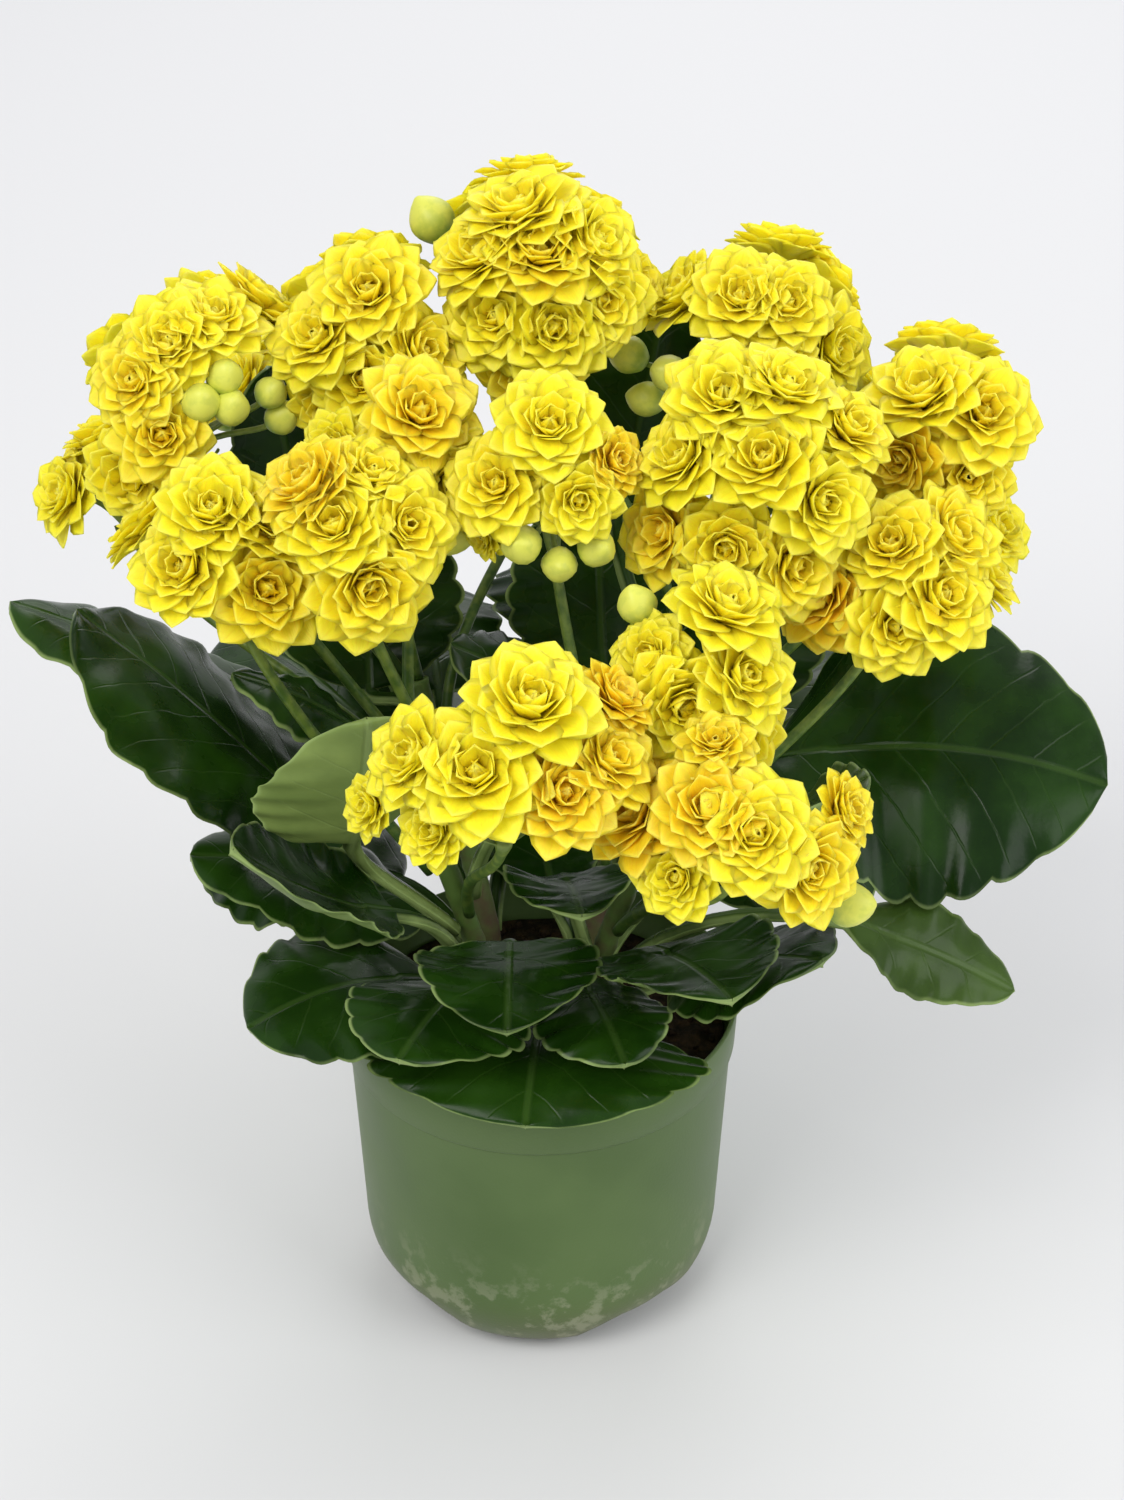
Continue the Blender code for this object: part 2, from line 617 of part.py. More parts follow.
def main():
    clear_scene()
    build_pot()
    build_soil()
    build_stems()
    for name in LEAVES:
        build_leaf(name)
    for name in HEADS:
        build_head(name)


main()
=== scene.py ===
"""The looks of a double-flowered kalanchoe in its thin plastic pot, in soft studio light.

The plan repeats the CAD model's own, in millimetres and degrees; every mesh is made in metres.
"""

import math

import bmesh
import bpy
import numpy as np
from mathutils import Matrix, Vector, noise


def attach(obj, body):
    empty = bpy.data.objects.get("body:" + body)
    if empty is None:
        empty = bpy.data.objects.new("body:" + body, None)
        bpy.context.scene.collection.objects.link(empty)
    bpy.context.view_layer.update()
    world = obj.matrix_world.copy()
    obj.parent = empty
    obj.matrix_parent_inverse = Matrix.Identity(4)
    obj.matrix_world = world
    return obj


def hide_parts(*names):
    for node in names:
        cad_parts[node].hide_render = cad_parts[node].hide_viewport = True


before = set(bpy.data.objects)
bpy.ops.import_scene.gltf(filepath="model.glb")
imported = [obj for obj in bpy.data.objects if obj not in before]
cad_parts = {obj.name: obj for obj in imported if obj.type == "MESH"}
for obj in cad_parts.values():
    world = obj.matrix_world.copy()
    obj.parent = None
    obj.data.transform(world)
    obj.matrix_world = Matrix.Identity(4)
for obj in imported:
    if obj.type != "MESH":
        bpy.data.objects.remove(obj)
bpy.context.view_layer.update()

MM = 0.001
GAP = 0.3
UP = Vector((0, 0, 1))
SEED = 7

# Pot
RIM_RADIUS = 50.0
POT_HEIGHT = 86.5
POT_WALL = 1.2
BAND_HEIGHT = 12.5
BAND_STEP = 0.9
BAND_TAPER = 0.6
WALL_TAPER = 1.0
FOOT_RADIUS = 46.0
CORNER_WIDTH = 16.0
CORNER_HEIGHT = 22.0
CORNER_STEPS = 14
POCKET_LIFT = 6.0
POCKET_FIRST_ANGLE = -52.0
POCKET_COUNT = 4
POCKET_HALF_ANGLE = 24.0
POCKET_STEEPNESS = 1.6
POCKET_INNER_RADIUS = 24.0
DRAIN_RADIUS = 3.0
DRAIN_PLACE = 32.5
DRAIN_SIDES = 24
DRAIN_CUT = (-2.0, 14.0)
POT_SIDES = 160
POT_SHARP_ANGLE = 50.0
LIP_RISE = 0.5
LIP_POINTS = 7
BAND_CORNER = ((0.25, 0.15), (0.0, 0.6))  # inset and rise of each point
BAND_INSIDE_RISE = 0.5
BAND_INSIDE_DROP = 0.4

# Soil
SOIL_EDGE = 76.0
SOIL_MIDDLE = 79.0
SOIL_RADIUS = 46.4
SOIL_DEPTH = 12.0
SOIL_ROUGHNESS = 1.3
SOIL_RINGS = 30
SOIL_SIDES = 96
SOIL_NOISE_RATE = 0.22
SOIL_NOISE_FADE = 0.6
SOIL_NOISE_RATIO = 2.0
SOIL_NOISE_OCTAVES = 5
SOIL_CALM_START = 0.98
SOIL_CALM_SHARE = 0.4
CRUMB_COUNT = 420
CRUMB_SIZES = (0.6, 1.9)
CRUMB_SHRINK = (0.6, 1.0)
CRUMB_SQUASH = (0.5, 1.2)
CRUMB_UNEVENNESS = 0.25
CRUMB_MARGIN = 2.5
CRUMB_SINK = 0.8

# Plant
STEM_RADIUS = 3.0
STEM_TOP_RADIUS = 2.4
STEM_SETTLE = 0.8
STEM_STEPS = 6
STEM_FINE_STEPS = 48
STEM_SIDES = 16
STEM_THINNING = 0.97
STEM_UNEVENNESS = 0.01
KNOT_COUNT = 5
KNOT_SHARPNESS = 12
KNOT_SWELL = 0.11
TOP_GAP = 0.45
STALK_RADIUS = 1.5
STALK_TOP_RADIUS = 1.2
STALK_LEAN = 0.35
STALK_SETTLE = 0.8
FORK_DROP = 0.6
PEDICEL_RADIUS = 0.75
PETIOLE_HALF_WIDTH = 2.2
PETIOLE_HALF_DEPTH = 1.6
FLOWER_SIZE = 27.0
FLOWER_DEPTH = 8.0
FLOWER_LIFT = 0.35
FLOWER_LEAN = 0.28
BUD_LIFT = 0.8

# Main stems: foot on the soil (x, y) and top (x, y, z)
STEMS = {
    "left_back": ((-12, 13), (-30, 30, 160)),
    "right_back": ((12, 13), (32, 30, 162)),
    "left_front": ((-12, -9), (-27, -14, 152)),
    "right_front": ((12, -9), (28, -16, 152)),
}

# Flower heads: stem, height of the stalk's foot on it (0 to 1), the head's middle, its radius, its
# flowers (azimuth, elevation, width, age from 0, lemon, to 1, golden) and its buds (azimuth,
# elevation, width, distance from the middle in radii)
HEADS = {
    "top": (
        "right_back", 1.0, (-1, 42, 261), 25,
        ((-105, 65, 34, 0.2), (-125, 35, 30, 0.2), (-85, 40, 31, 0.4), (-45, 40, 31, 0.1),
         (-110, 5, 30, 0.1), (-80, 0, 31, 0.1), (-50, 10, 28, 0.2), (-90, -25, 30, 0.5),
         (95, 55, 30, 0.2), (60, 20, 29, 0.3), (120, 20, 29, 0.1), (-20, 8, 22, 0.2)),
        ((170, 30, 10.5, 1.1),),
    ),
    "back_right": (
        "right_back", 0.8, (50, 42, 249), 21,
        ((-160, 35, 27, 0.1), (-105, 45, 29, 0.2), (-65, 40, 27, 0.2), (-30, 0, 29, 0.1),
         (-80, 5, 25, 0.3), (60, 50, 29, 0.1), (90, 10, 27, 0.2), (30, 20, 27, 0.3)),
        ((-175, -10, 9, 1.4), (-150, -15, 9, 1.1), (-115, -20, 9, 1.05), (-165, -30, 8.5, 1.4)),
    ),
    "right": (
        "right_back", 0.62, (92, 18, 235), 20,
        ((-115, 50, 31, 0.2), (-60, 35, 31, 0.3), (-120, 5, 27, 0.7), (-130, -25, 25, 0.7),
         (-75, -5, 25, 0.3), (80, 45, 29, 0.2), (38, 10, 27, 0.2)),
        ((-155, 25, 8.5, 1.1), (-95, -20, 9, 1.1)),
    ),
    "right_low": (
        "right_front", 0.7, (79, -12, 213), 21,
        ((-30, 45, 29, 0.3), (-95, 50, 28, 0.3), (-60, 15, 31, 0.2), (-90, 0, 28, 0.2),
         (-140, 10, 29, 0.9), (-5, 10, 27, 0.2)),
        ((-135, 50, 8, 1.1),),
    ),
    "centre_right": (
        "right_front", 1.0, (49, -3, 237), 30,
        ((-120, 55, 31, 0.1), (-70, 60, 29, 0.1), (-40, 35, 25, 0.2), (-130, 25, 28, 0.1),
         (-90, 30, 30, 0.2), (-65, 10, 29, 0.1), (-135, -10, 28, 0.6), (-105, -10, 28, 0.2),
         (-75, -20, 29, 0.3)),
        (),
    ),
    "front_upper": (
        "right_front", 0.85, (35, -45, 211), 22,
        ((-60, 60, 31, 0.1), (-125, 30, 21, 0.1), (-100, 5, 32, 0.1), (-65, 20, 28, 0.1),
         (-70, -15, 27, 0.2)),
        ((-155, 50, 8.5, 1.05),),
    ),
    "front_left": (
        "left_front", 0.55, (-7, -66, 198), 32,
        ((-70, 55, 34, 0.1), (-100, 30, 34, 0.1), (-115, 5, 20, 0.0), (-150, 0, 17, 0.0),
         (-130, 30, 27, 0.1), (-65, 20, 29, 0.7), (-15, 40, 22, 0.8), (-40, 25, 27, 0.5)),
        (),
    ),
    "front_right": (
        "right_front", 0.5, (43, -70, 188), 27,
        ((-150, 20, 31, 0.8), (-110, 35, 29, 0.7), (-85, 25, 31, 0.2), (-60, 5, 29, 0.4),
         (-30, 20, 20, 0.4), (-120, 65, 20, 0.5), (-120, 0, 22, 0.1)),
        ((-24, -32, 10, 1.15),),
    ),
    "left_low": (
        "left_front", 0.7, (-69, -15, 220), 20,
        ((-100, 60, 30, 0.1), (-115, 20, 29, 0.2), (-60, 5, 31, 0.4), (-40, 45, 28, 0.3),
         (170, 20, 27, 0.2)),
        (),
    ),
    "left_inner": (
        "left_front", 0.85, (-40, -20, 228), 22,
        ((-80, 0, 32, 0.3), (-135, 55, 29, 0.6), (-100, 35, 29, 0.2), (-50, 30, 28, 0.2),
         (-60, 65, 25, 0.2)),
        (),
    ),
    "left": (
        "left_back", 0.65, (-82, 28, 240), 27,
        ((20, 45, 30, 0.3), (-50, 60, 28, 0.2), (-90, 50, 29, 0.2), (-110, 30, 27, 0.4),
         (-95, 5, 27, 0.4), (-112, -20, 29, 0.2), (80, 20, 29, 0.2), (125, 0, 28, 0.1)),
        ((-60, 30, 8.5, 1.0), (-75, 20, 9, 1.0), (-60, 15, 8.5, 1.0), (-35, 15, 7.5, 1.0),
         (-30, 0, 8, 1.0)),
    ),
    "back_left": (
        "left_back", 1.0, (-39, 33, 250), 23,
        ((-120, 25, 30, 0.2), (-85, 55, 31, 0.3), (-55, 15, 28, 0.3), (-90, 5, 29, 0.2),
         (-112, -15, 22, 0.3), (90, 30, 29, 0.2), (120, 5, 28, 0.2)),
        ((-95, -25, 7.5, 1.0),),
    ),
    "centre_left": (
        "left_front", 1.0, (-29, 0, 239), 21,
        ((-75, 50, 31, 0.5), (-105, 10, 27, 0.3), (-60, 5, 29, 0.2), (-140, 20, 20, 0.1)),
        ((-60, -30, 10, 1.1),),
    ),
    "centre": (
        "right_front", 0.6, (3, -8, 239), 24,
        ((-90, 50, 29, 0.1), (-120, 15, 27, 0.2), (-75, 10, 22, 0.1), (-130, -20, 13, 0.1),
         (-50, 25, 19, 0.7)),
        ((-105, -15, 9, 1.05), (-85, -30, 8, 1.05), (-65, -20, 8.5, 1.05)),
    ),
    "far_left": (
        "left_back", 0.42, (-58, 84, 200), 24,
        ((100, 75, 30, 0.2), (40, 35, 28, 0.1), (90, 25, 30, 0.3), (140, 30, 29, 0.1),
         (-170, 40, 28, 0.2), (110, -10, 27, 0.6)),
        ((65, -5, 9, 1.05), (155, 0, 8, 1.1)),
    ),
    "far_back": (
        "left_back", 0.8, (4, 94, 212), 25,
        ((90, 80, 31, 0.1), (30, 35, 29, 0.2), (75, 20, 30, 0.1), (120, 30, 29, 0.4),
         (165, 35, 28, 0.2), (100, -10, 27, 0.2)),
        ((50, -5, 9, 1.05), (140, -5, 8.5, 1.05)),
    ),
    "far_right": (
        "right_back", 0.45, (66, 84, 194), 24,
        ((80, 75, 30, 0.3), (15, 35, 28, 0.2), (60, 25, 30, 0.1), (105, 30, 29, 0.2),
         (150, 35, 27, 0.5), (80, -10, 26, 0.1)),
        ((35, -5, 9, 1.05), (125, -5, 8, 1.1)),
    ),
    "left_back_low": (
        "left_back", 0.58, (-100, 58, 194), 19,
        ((150, 65, 28, 0.2), (-160, 20, 27, 0.1), (150, 5, 28, 0.5), (95, 30, 26, 0.2)),
        ((125, -10, 8.5, 1.1),),
    ),
    "right_back_low": (
        "right_back", 0.25, (96, 58, 184), 19,
        ((30, 65, 28, 0.2), (-20, 20, 27, 0.1), (35, 5, 28, 0.4), (85, 30, 26, 0.2)),
        ((60, -10, 8.5, 1.1),),
    ),
}

# Leaves: stem, height of the stalk's foot on it, start and tip of the blade, width, bow of the midrib,
# turn-up of the margins, roll about the midrib, and tone (0 dark, 1 pale)
LEAVES = {
    "far_left": ("left_back", 0.43, (-62, 38, 140), (-133, 48, 171), 46, 4, -4, 10, 0.5),
    "left_large": ("left_front", 0.42, (-48, -4, 134), (-110, 12, 190), 74, 4, -5, 12, 0.25),
    "left_middle": ("left_back", 0.82, (-38, 7, 155), (-73, 4, 177), 26, 3, -3, 0, 0.2),
    "left_lobe": ("left_back", 0.16, (-29, 9, 104), (-86, 2, 126), 50, 5, -3, 0, 0.2),
    "left_upright": ("left_front", 0.5, (-43, -33, 156), (-37, -50, 199), 48, -4, 4, 0, 0.9),
    "left_cupped": ("left_front", 0.28, (-34, -37, 137), (-68, -54, 167), 44, -3, 5, 0, 0.0),
    "front_left_rim": ("left_front", 0.08, (-26, -20, 104), (-69, -41, 106), 58, 6, -2, 0, 0.3),
    "front_rim": ("right_front", 0.05, (1, -28, 100), (-3, -67, 98), 84, 5, -2, 0, 0.35),
    "front_inner": ("left_front", 0.2, (-7, -28, 121), (-7, -65, 124), 44, 3, 5, 0, 0.2),
    "front_middle": ("right_front", 0.35, (6, -24, 138), (10, -56, 150), 32, 2, 4, 0, 0.1),
    "front_right_inner": ("right_front", 0.2, (27, -29, 120), (44, -65, 133), 44, 3, 4, 0, 0.2),
    "right_front_low": ("right_front", 0.1, (35, -22, 108), (66, -45, 129), 48, 3, -2, 0, 0.3),
    "right_large": ("right_back", 0.4, (54, 4, 152), (136, -4, 151), 78, 8, -5, 35, 0.1),
    "right_narrow": ("right_front", 0.3, (72, -32, 131), (113, -34, 112), 24, 2, -1, 35, 0.6),
    "right_small": ("right_front", 0.55, (50, -34, 158), (72, -52, 180), 32, 2, 3, 0, 0.6),
    "middle_inner": ("left_front", 0.6, (-6, -26, 158), (4, -46, 170), 38, 2, 4, 0, 0.1),
    "front_left_inner": ("left_front", 0.12, (-16, -29, 112), (-32, -64, 115), 46, 3, -3, 0, 0.2),
    "front_low_middle": ("right_front", 0.16, (10, -29, 111), (20, -62, 112), 34, 3, -2, 0, 0.2),
    "middle_back": ("right_back", 0.78, (12, 26, 148), (-22, 26, 172), 44, 3, -3, 0, 0.1),
    "upright_middle": ("right_back", 0.92, (16, 37, 154), (14, 64, 198), 48, -3, 3, 0, 0.1),
    "upright_left": ("left_back", 0.9, (-43, 40, 151), (-45, 66, 196), 50, -3, 3, 0, 0.1),
    "upright_right": ("right_back", 0.72, (48, 34, 147), (52, 61, 191), 46, -3, 3, 0, 0.1),
    "inner_middle": ("right_back", 0.1, (3, 20, 103), (-4, 56, 128), 38, -3, 3, 0, 0.15),
    "high_middle": ("right_back", 0.96, (20, 52, 198), (31, 70, 246), 42, -3, 3, 0, 0.1),
    "high_left": ("left_back", 0.97, (-58, 52, 186), (-66, 62, 230), 40, -3, 3, 0, 0.1),
    "back_left": ("left_back", 0.3, (-40, 48, 128), (-84, 94, 134), 60, 6, -4, 0, 0.3),
    "back_middle": ("left_back", 0.15, (-10, 42, 110), (-18, 104, 116), 62, 7, -4, 0, 0.2),
    "back_right": ("right_back", 0.34, (42, 46, 126), (88, 90, 132), 60, 6, -4, 0, 0.3),
    "back_upper": ("right_back", 0.5, (10, 50, 158), (18, 106, 158), 58, 5, -5, 0, 0.2),
    "back_upper_left": ("left_back", 0.6, (-26, 50, 144), (-34, 106, 148), 40, 4, -4, 0, 0.3),
    "right_back_rim": ("right_back", 0.08, (38, 22, 106), (88, 40, 100), 56, 5, -3, 0, 0.3),
    "left_back_rim": ("left_back", 0.05, (-36, 28, 100), (-88, 46, 94), 56, 5, -3, 0, 0.2),
    "back_rim": ("right_back", 0.04, (14, 34, 98), (24, 80, 90), 56, 5, -3, 0, 0.3),
}

# Leaf surface
LEAF_LENGTH_POWER = 0.92
LEAF_FULLNESS_POWER = 0.53
LEAF_LOBES = 7
LEAF_LOBE_DEPTH = 0.1
LEAF_LOBE_POWER = 0.6
LEAF_LOBE_START = 6
LEAF_PALE_SMOOTHNESS = 0.75
LEAF_MIDDLE_THICKNESS = 1.9
LEAF_EDGE_THICKNESS = 0.8
LEAF_RIB_DEPTH = 0.7
LEAF_RIB_WIDTH = 0.09
LEAF_RIB_BELOW = 0.6
LEAF_RIB_THICKNESS_LIMIT = 2.2
LEAF_EDGE_ROUNDNESS = 6
LEAF_WAVE = 1.5
LEAF_WAVE_COUNT = 1.4
LEAF_RIPPLE = 0.35
LEAF_LUMP = 1.5
LEAF_LUMP_SIZE = 13.0
LEAF_LUMP_START = 5
LEAF_TIP_HALF_WIDTH = 0.3
PETIOLE_PLACE = -0.1
BLADE_STEPS = 60
PETIOLE_STEPS = 10
LEAF_ACROSS = 8

# Whorls of petals, outermost first, for a flower of the usual width: how many petals, their length,
# half their width, the angle from the flower's axis at foot and tip, how far they cup, and the height
# of their feet
WHORLS = (
    (9, 12.7, 4.5, 54, 101, 0.10, 4.2),
    (9, 11.9, 4.4, 44, 87, 0.16, 4.7),
    (8, 10.6, 4.0, 34, 69, 0.26, 5.0),
    (7, 9.0, 3.6, 25, 46, 0.36, 5.1),
    (6, 7.4, 3.1, 17, 20, 0.5, 5.1),
    (4, 5.8, 2.6, 9, -20, 0.7, 5.1),
)

# Petals
PETAL_THICKNESS = 0.32
PETAL_SHARES = np.array([0.0, 0.24, 0.46, 0.66, 0.82, 0.93, 1.0])
PETAL_SHOULDER = 0.62
PETAL_FOOT_WIDTH = 0.38
PETAL_TIP_START = 0.8
PETAL_TIP_WIDTH = 0.84
PETAL_TIP_POWER = 0.8
PETAL_END_WIDTH = 0.04
PETAL_FOOT_PLACE = 0.7
PETAL_BEND_POWER = 1.3
PETAL_TILT = 0.18
PETAL_CREASE = 0.12
PETAL_CURL = (0.5, 1.1)
PETAL_CURL_HEIGHT = 0.35
PETAL_CURL_RATE = 3.1
PETAL_CURL_SHIFT = 5
PETAL_STRAY = 0.16
PETAL_LENGTHS = (0.9, 1.06)
PETAL_WIDTH_RANGE = (0.9, 1.08)
PETAL_CUPS = (0.7, 1.2)
PETAL_TIP_STRAY = 9
PETAL_FOOT_STRAY = 5
PETAL_AGE_STRAY = 0.08
WHORL_TURN = 2.4
FLOWER_OPENNESS = (-20, 6)

# Flower tubes, sepals, buds, bracts and stalks
TUBE_RADIUS = 1.5
TUBE_SIDES = 10
TUBE_FOOT = 0.6
TUBE_HEIGHTS = (1.5, 4.8)
TUBE_RADII = (0.8, 1.6, TUBE_RADIUS)
TUBE_SHADES = (0.8, 0.9, 1.0)
SEPAL_COUNT = 4
SEPAL_LENGTH = 6.0
SEPAL_HALF_WIDTH = 1.3
SEPAL_HALF_THICKNESS = 0.25
SEPAL_CUP = 0.3
SEPAL_ROWS = 5
SEPAL_SPREAD = 42.0
BUD_SEPAL_SPREAD = 30.0
BUD_USUAL_SIZE = 10.5
BUD_ROWS = 11
BUD_SIDES = 16
BUD_FOLDS = 4
BUD_FOLD_DEPTH = 0.07
BUD_FOLD_TWIST = 2.2
BRACT_STEPS = 6
BRACT_HALF_WIDTH = 1.3
BRACT_HALF_THICKNESS = 0.3
BRACT_CUP = 0.4
BRACT_LENGTHS = (7, 10)
BRACT_DROP = 3
BRACT_STRAY = 30
BRACT_ELEVATION = 25
BLADE_SECTION = ((1, 0), (0.5, 1), (-0.5, 1), (-1, 0), (-0.5, -1), (0.5, -1))
STALK_STEPS = 24
STALK_SIDES = 10
STALK_TOP_SWELL = (0.3, 0.8, 0.9)
PEDICEL_STEPS = 9
PEDICEL_SIDES = 8
PEDICEL_SWELL = 1.1
PEDICEL_RISE = 0.5
PEDICEL_START_PULL = 0.9
PEDICEL_END_PULL = 0.7

# Colours
PETAL_LEMON = (0.97, 0.86, 0.022)
PETAL_GOLD = (0.96, 0.53, 0.012)
PETAL_TIP = (0.94, 0.88, 0.14)
BUD_FOOT = (0.25, 0.38, 0.05)
BUD_TIP = (0.68, 0.70, 0.10)
STALK_LOW = (0.05, 0.11, 0.015)
STALK_HIGH = (0.28, 0.36, 0.06)
BARK_BROWN = (0.09, 0.06, 0.03)
BARK_GREEN = (0.09, 0.16, 0.03)
LEAF_DARK = (0.003, 0.016, 0.001)
LEAF_LIGHT = (0.021, 0.070, 0.004)
LEAF_VEIN = (0.09, 0.17, 0.035)
SAGE_DARK = (0.085, 0.14, 0.032)
SAGE_LIGHT = (0.25, 0.34, 0.09)
SAGE_VEIN = (0.26, 0.35, 0.13)
LEAF_RIM = (0.28, 0.38, 0.13)
PEAT_DARK = (0.008, 0.005, 0.003)
PEAT_LIGHT = (0.06, 0.033, 0.016)
POT_DARK = (0.060, 0.110, 0.024)
POT_LIGHT = (0.082, 0.138, 0.037)
# Darker, browner colour towards the pot's bottom
POT_LOW_BROWN = (0.115, 0.095, 0.045)
# Painted highlight: the pale patches low on the pot's rounded foot
POT_PAINTED_HIGHLIGHT = (0.34, 0.35, 0.24)
PAPER = (0.675, 0.675, 0.684)
SKY = (0.97, 0.98, 1.0)

# Camera and light, in metres and watts
CAMERA_PLACE = (0.0055, -0.6024, 0.5499)
CAMERA_PITCH = 57.0
CAMERA_LENS = 72.0
FLOOR_HALF = 6.0
FLOOR_DROP = 0.0002
LIGHT_TARGET = (0, 0, 0.16)
SKY_STRENGTH = 0.71

# Soft boxes: place, size, power and colour
LIGHTS = {
    "key": ((-0.7, -1.0, 1.5), 0.9, 17, (1.0, 0.99, 0.97)),
    "fill": ((1.2, -0.7, 0.9), 1.0, 10, (0.98, 0.99, 1.0)),
    "back": ((0.2, 1.3, 1.2), 1.0, 9, (1.0, 1.0, 1.0)),
}


class Skin:
    """Gathers the points, faces and point values of one piece."""

    def __init__(self):
        self.points = []
        self.faces = []
        self.values = {}
        self.count = 0

    def add(self, points, faces, **values):
        """Adds an (n, 3) array of points in millimetres, faces that index it and a value for each."""
        self.points.append(points)
        self.faces.extend([[index + self.count for index in face] for face in faces])
        for name, value in values.items():
            shape = (len(points),) + np.shape(value)[1:]
            self.values.setdefault(name, []).append(np.broadcast_to(value, shape))
        self.count += len(points)

    def piece(self, name, surface, replaced):
        """The gathered skin as a smooth object that rides on the plant."""
        points = np.concatenate(self.points) * MM
        mesh = bpy.data.meshes.new(name)
        mesh.from_pydata(points.tolist(), [], self.faces)
        for label, parts in self.values.items():
            value = np.concatenate(parts)
            kind, field = ("FLOAT", "value") if value.ndim == 1 else ("FLOAT_VECTOR", "vector")
            store = mesh.attributes.new(label, kind, "POINT")
            store.data.foreach_set(field, value.astype(np.float32).ravel())
        mesh.shade_smooth()
        mesh.materials.append(surface)
        item = bpy.data.objects.new(name, mesh)
        bpy.context.scene.collection.objects.link(item)
        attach(item, "root")
        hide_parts(*replaced)
        return item


def loft_faces(rings, sides):
    """Quads between rings of points, and a cap at each end."""
    faces = [list(range(sides))[::-1], [(rings - 1) * sides + side for side in range(sides)]]
    for ring in range(rings - 1):
        for side in range(sides):
            after = (side + 1) % sides
            low, high = ring * sides, (ring + 1) * sides
            faces.append([low + side, low + after, high + after, high + side])
    return faces


def side_axes(direction):
    """Two unit vectors across a direction; the first lies level."""
    level = UP.cross(direction)
    if level.length < 0.05:
        level = Vector((1, 0, 0))
    level.normalize()
    return level, direction.cross(level).normalized()


def bend(start, start_pull, end, end_pull, steps):
    """Points along a smooth curve that leaves start along start_pull and arrives along end_pull."""
    points = []
    for index in range(steps + 1):
        t = index / steps
        points.append(
            start * (2 * t**3 - 3 * t**2 + 1)
            + start_pull * (t**3 - 2 * t**2 + t)
            + end * (3 * t**2 - 2 * t**3)
            + end_pull * (t**3 - t**2)
        )
    return points


def headings(points):
    """The curve's direction at each of its points."""
    last = len(points) - 1
    return [(points[min(i + 1, last)] - points[max(i - 1, 0)]).normalized() for i in range(last + 1)]


def toward(azimuth, elevation):
    """The unit vector at an azimuth and an elevation in degrees."""
    turn, rise = math.radians(azimuth), math.radians(elevation)
    return Vector((math.cos(turn) * math.cos(rise), math.sin(turn) * math.cos(rise), math.sin(rise)))


def add_tube(skin, points, radii, sides, **values):
    """A tube through the points with a radius at each."""
    rings = []
    turns = [2 * math.pi * side / sides for side in range(sides)]
    for point, along, radius in zip(points, headings(points), radii):
        level, over = side_axes(along)
        for turn in turns:
            rings.append(point + level * (radius * math.cos(turn)) + over * (radius * math.sin(turn)))
    skin.add(np.array(rings), loft_faces(len(points), sides), **values)


def stem_line(name, steps=STEM_STEPS):
    """The main stem's middle line, from just above the soil to its top."""
    foot, top = STEMS[name]
    start = Vector((*foot, SOIL_MIDDLE + GAP))
    end = Vector(top)
    return bend(start, UP * (end.z - start.z), end, (end - start) * STEM_SETTLE, steps)


def on_stem(name, share):
    """The stem's middle and direction at a share of its height."""
    line = stem_line(name)
    place = share * (len(line) - 1)
    index = min(int(place), len(line) - 2)
    point = line[index].lerp(line[index + 1], place - index)
    return point, (line[index + 1] - line[index]).normalized()


def beside_stem(name, share, goal, own_radius):
    """Where a stalk starts beside its stem, on the side that faces its goal."""
    point, direction = on_stem(name, share)
    if share >= 1.0:
        return point + direction * TOP_GAP, direction
    outward = goal - point
    outward -= direction * outward.dot(direction)
    outward.normalize()
    radius = STEM_RADIUS + (STEM_TOP_RADIUS - STEM_RADIUS) * share
    lean = (direction + outward * STALK_LEAN).normalized()
    return point + outward * (radius + GAP + own_radius), lean


def pocket_share(turn):
    """How much of its full lift the foot's ring has at an angle, to form the drain pockets."""
    step = 360.0 / POCKET_COUNT
    away = abs((math.degrees(turn) - POCKET_FIRST_ANGLE + step / 2) % step - step / 2)
    return max(0.0, min(1.0, POCKET_STEEPNESS * (1 - away / POCKET_HALF_ANGLE)))


def foot_curve(inset):
    """The pot's side below its rim band, pushed in by an inset, as (radius, height, share of lift)."""
    points = [(FOOT_RADIUS - inset + WALL_TAPER, POT_HEIGHT / 2, 0)]
    for index in range(CORNER_STEPS + 1):
        angle = math.pi / 2 * index / CORNER_STEPS
        radius = FOOT_RADIUS - CORNER_WIDTH + (CORNER_WIDTH - inset) * math.cos(angle)
        height = CORNER_HEIGHT - (CORNER_HEIGHT - inset) * math.sin(angle)
        points.append((radius, height, math.sin(angle) ** 2))
    points.append((POCKET_INNER_RADIUS, inset, 0))
    return points


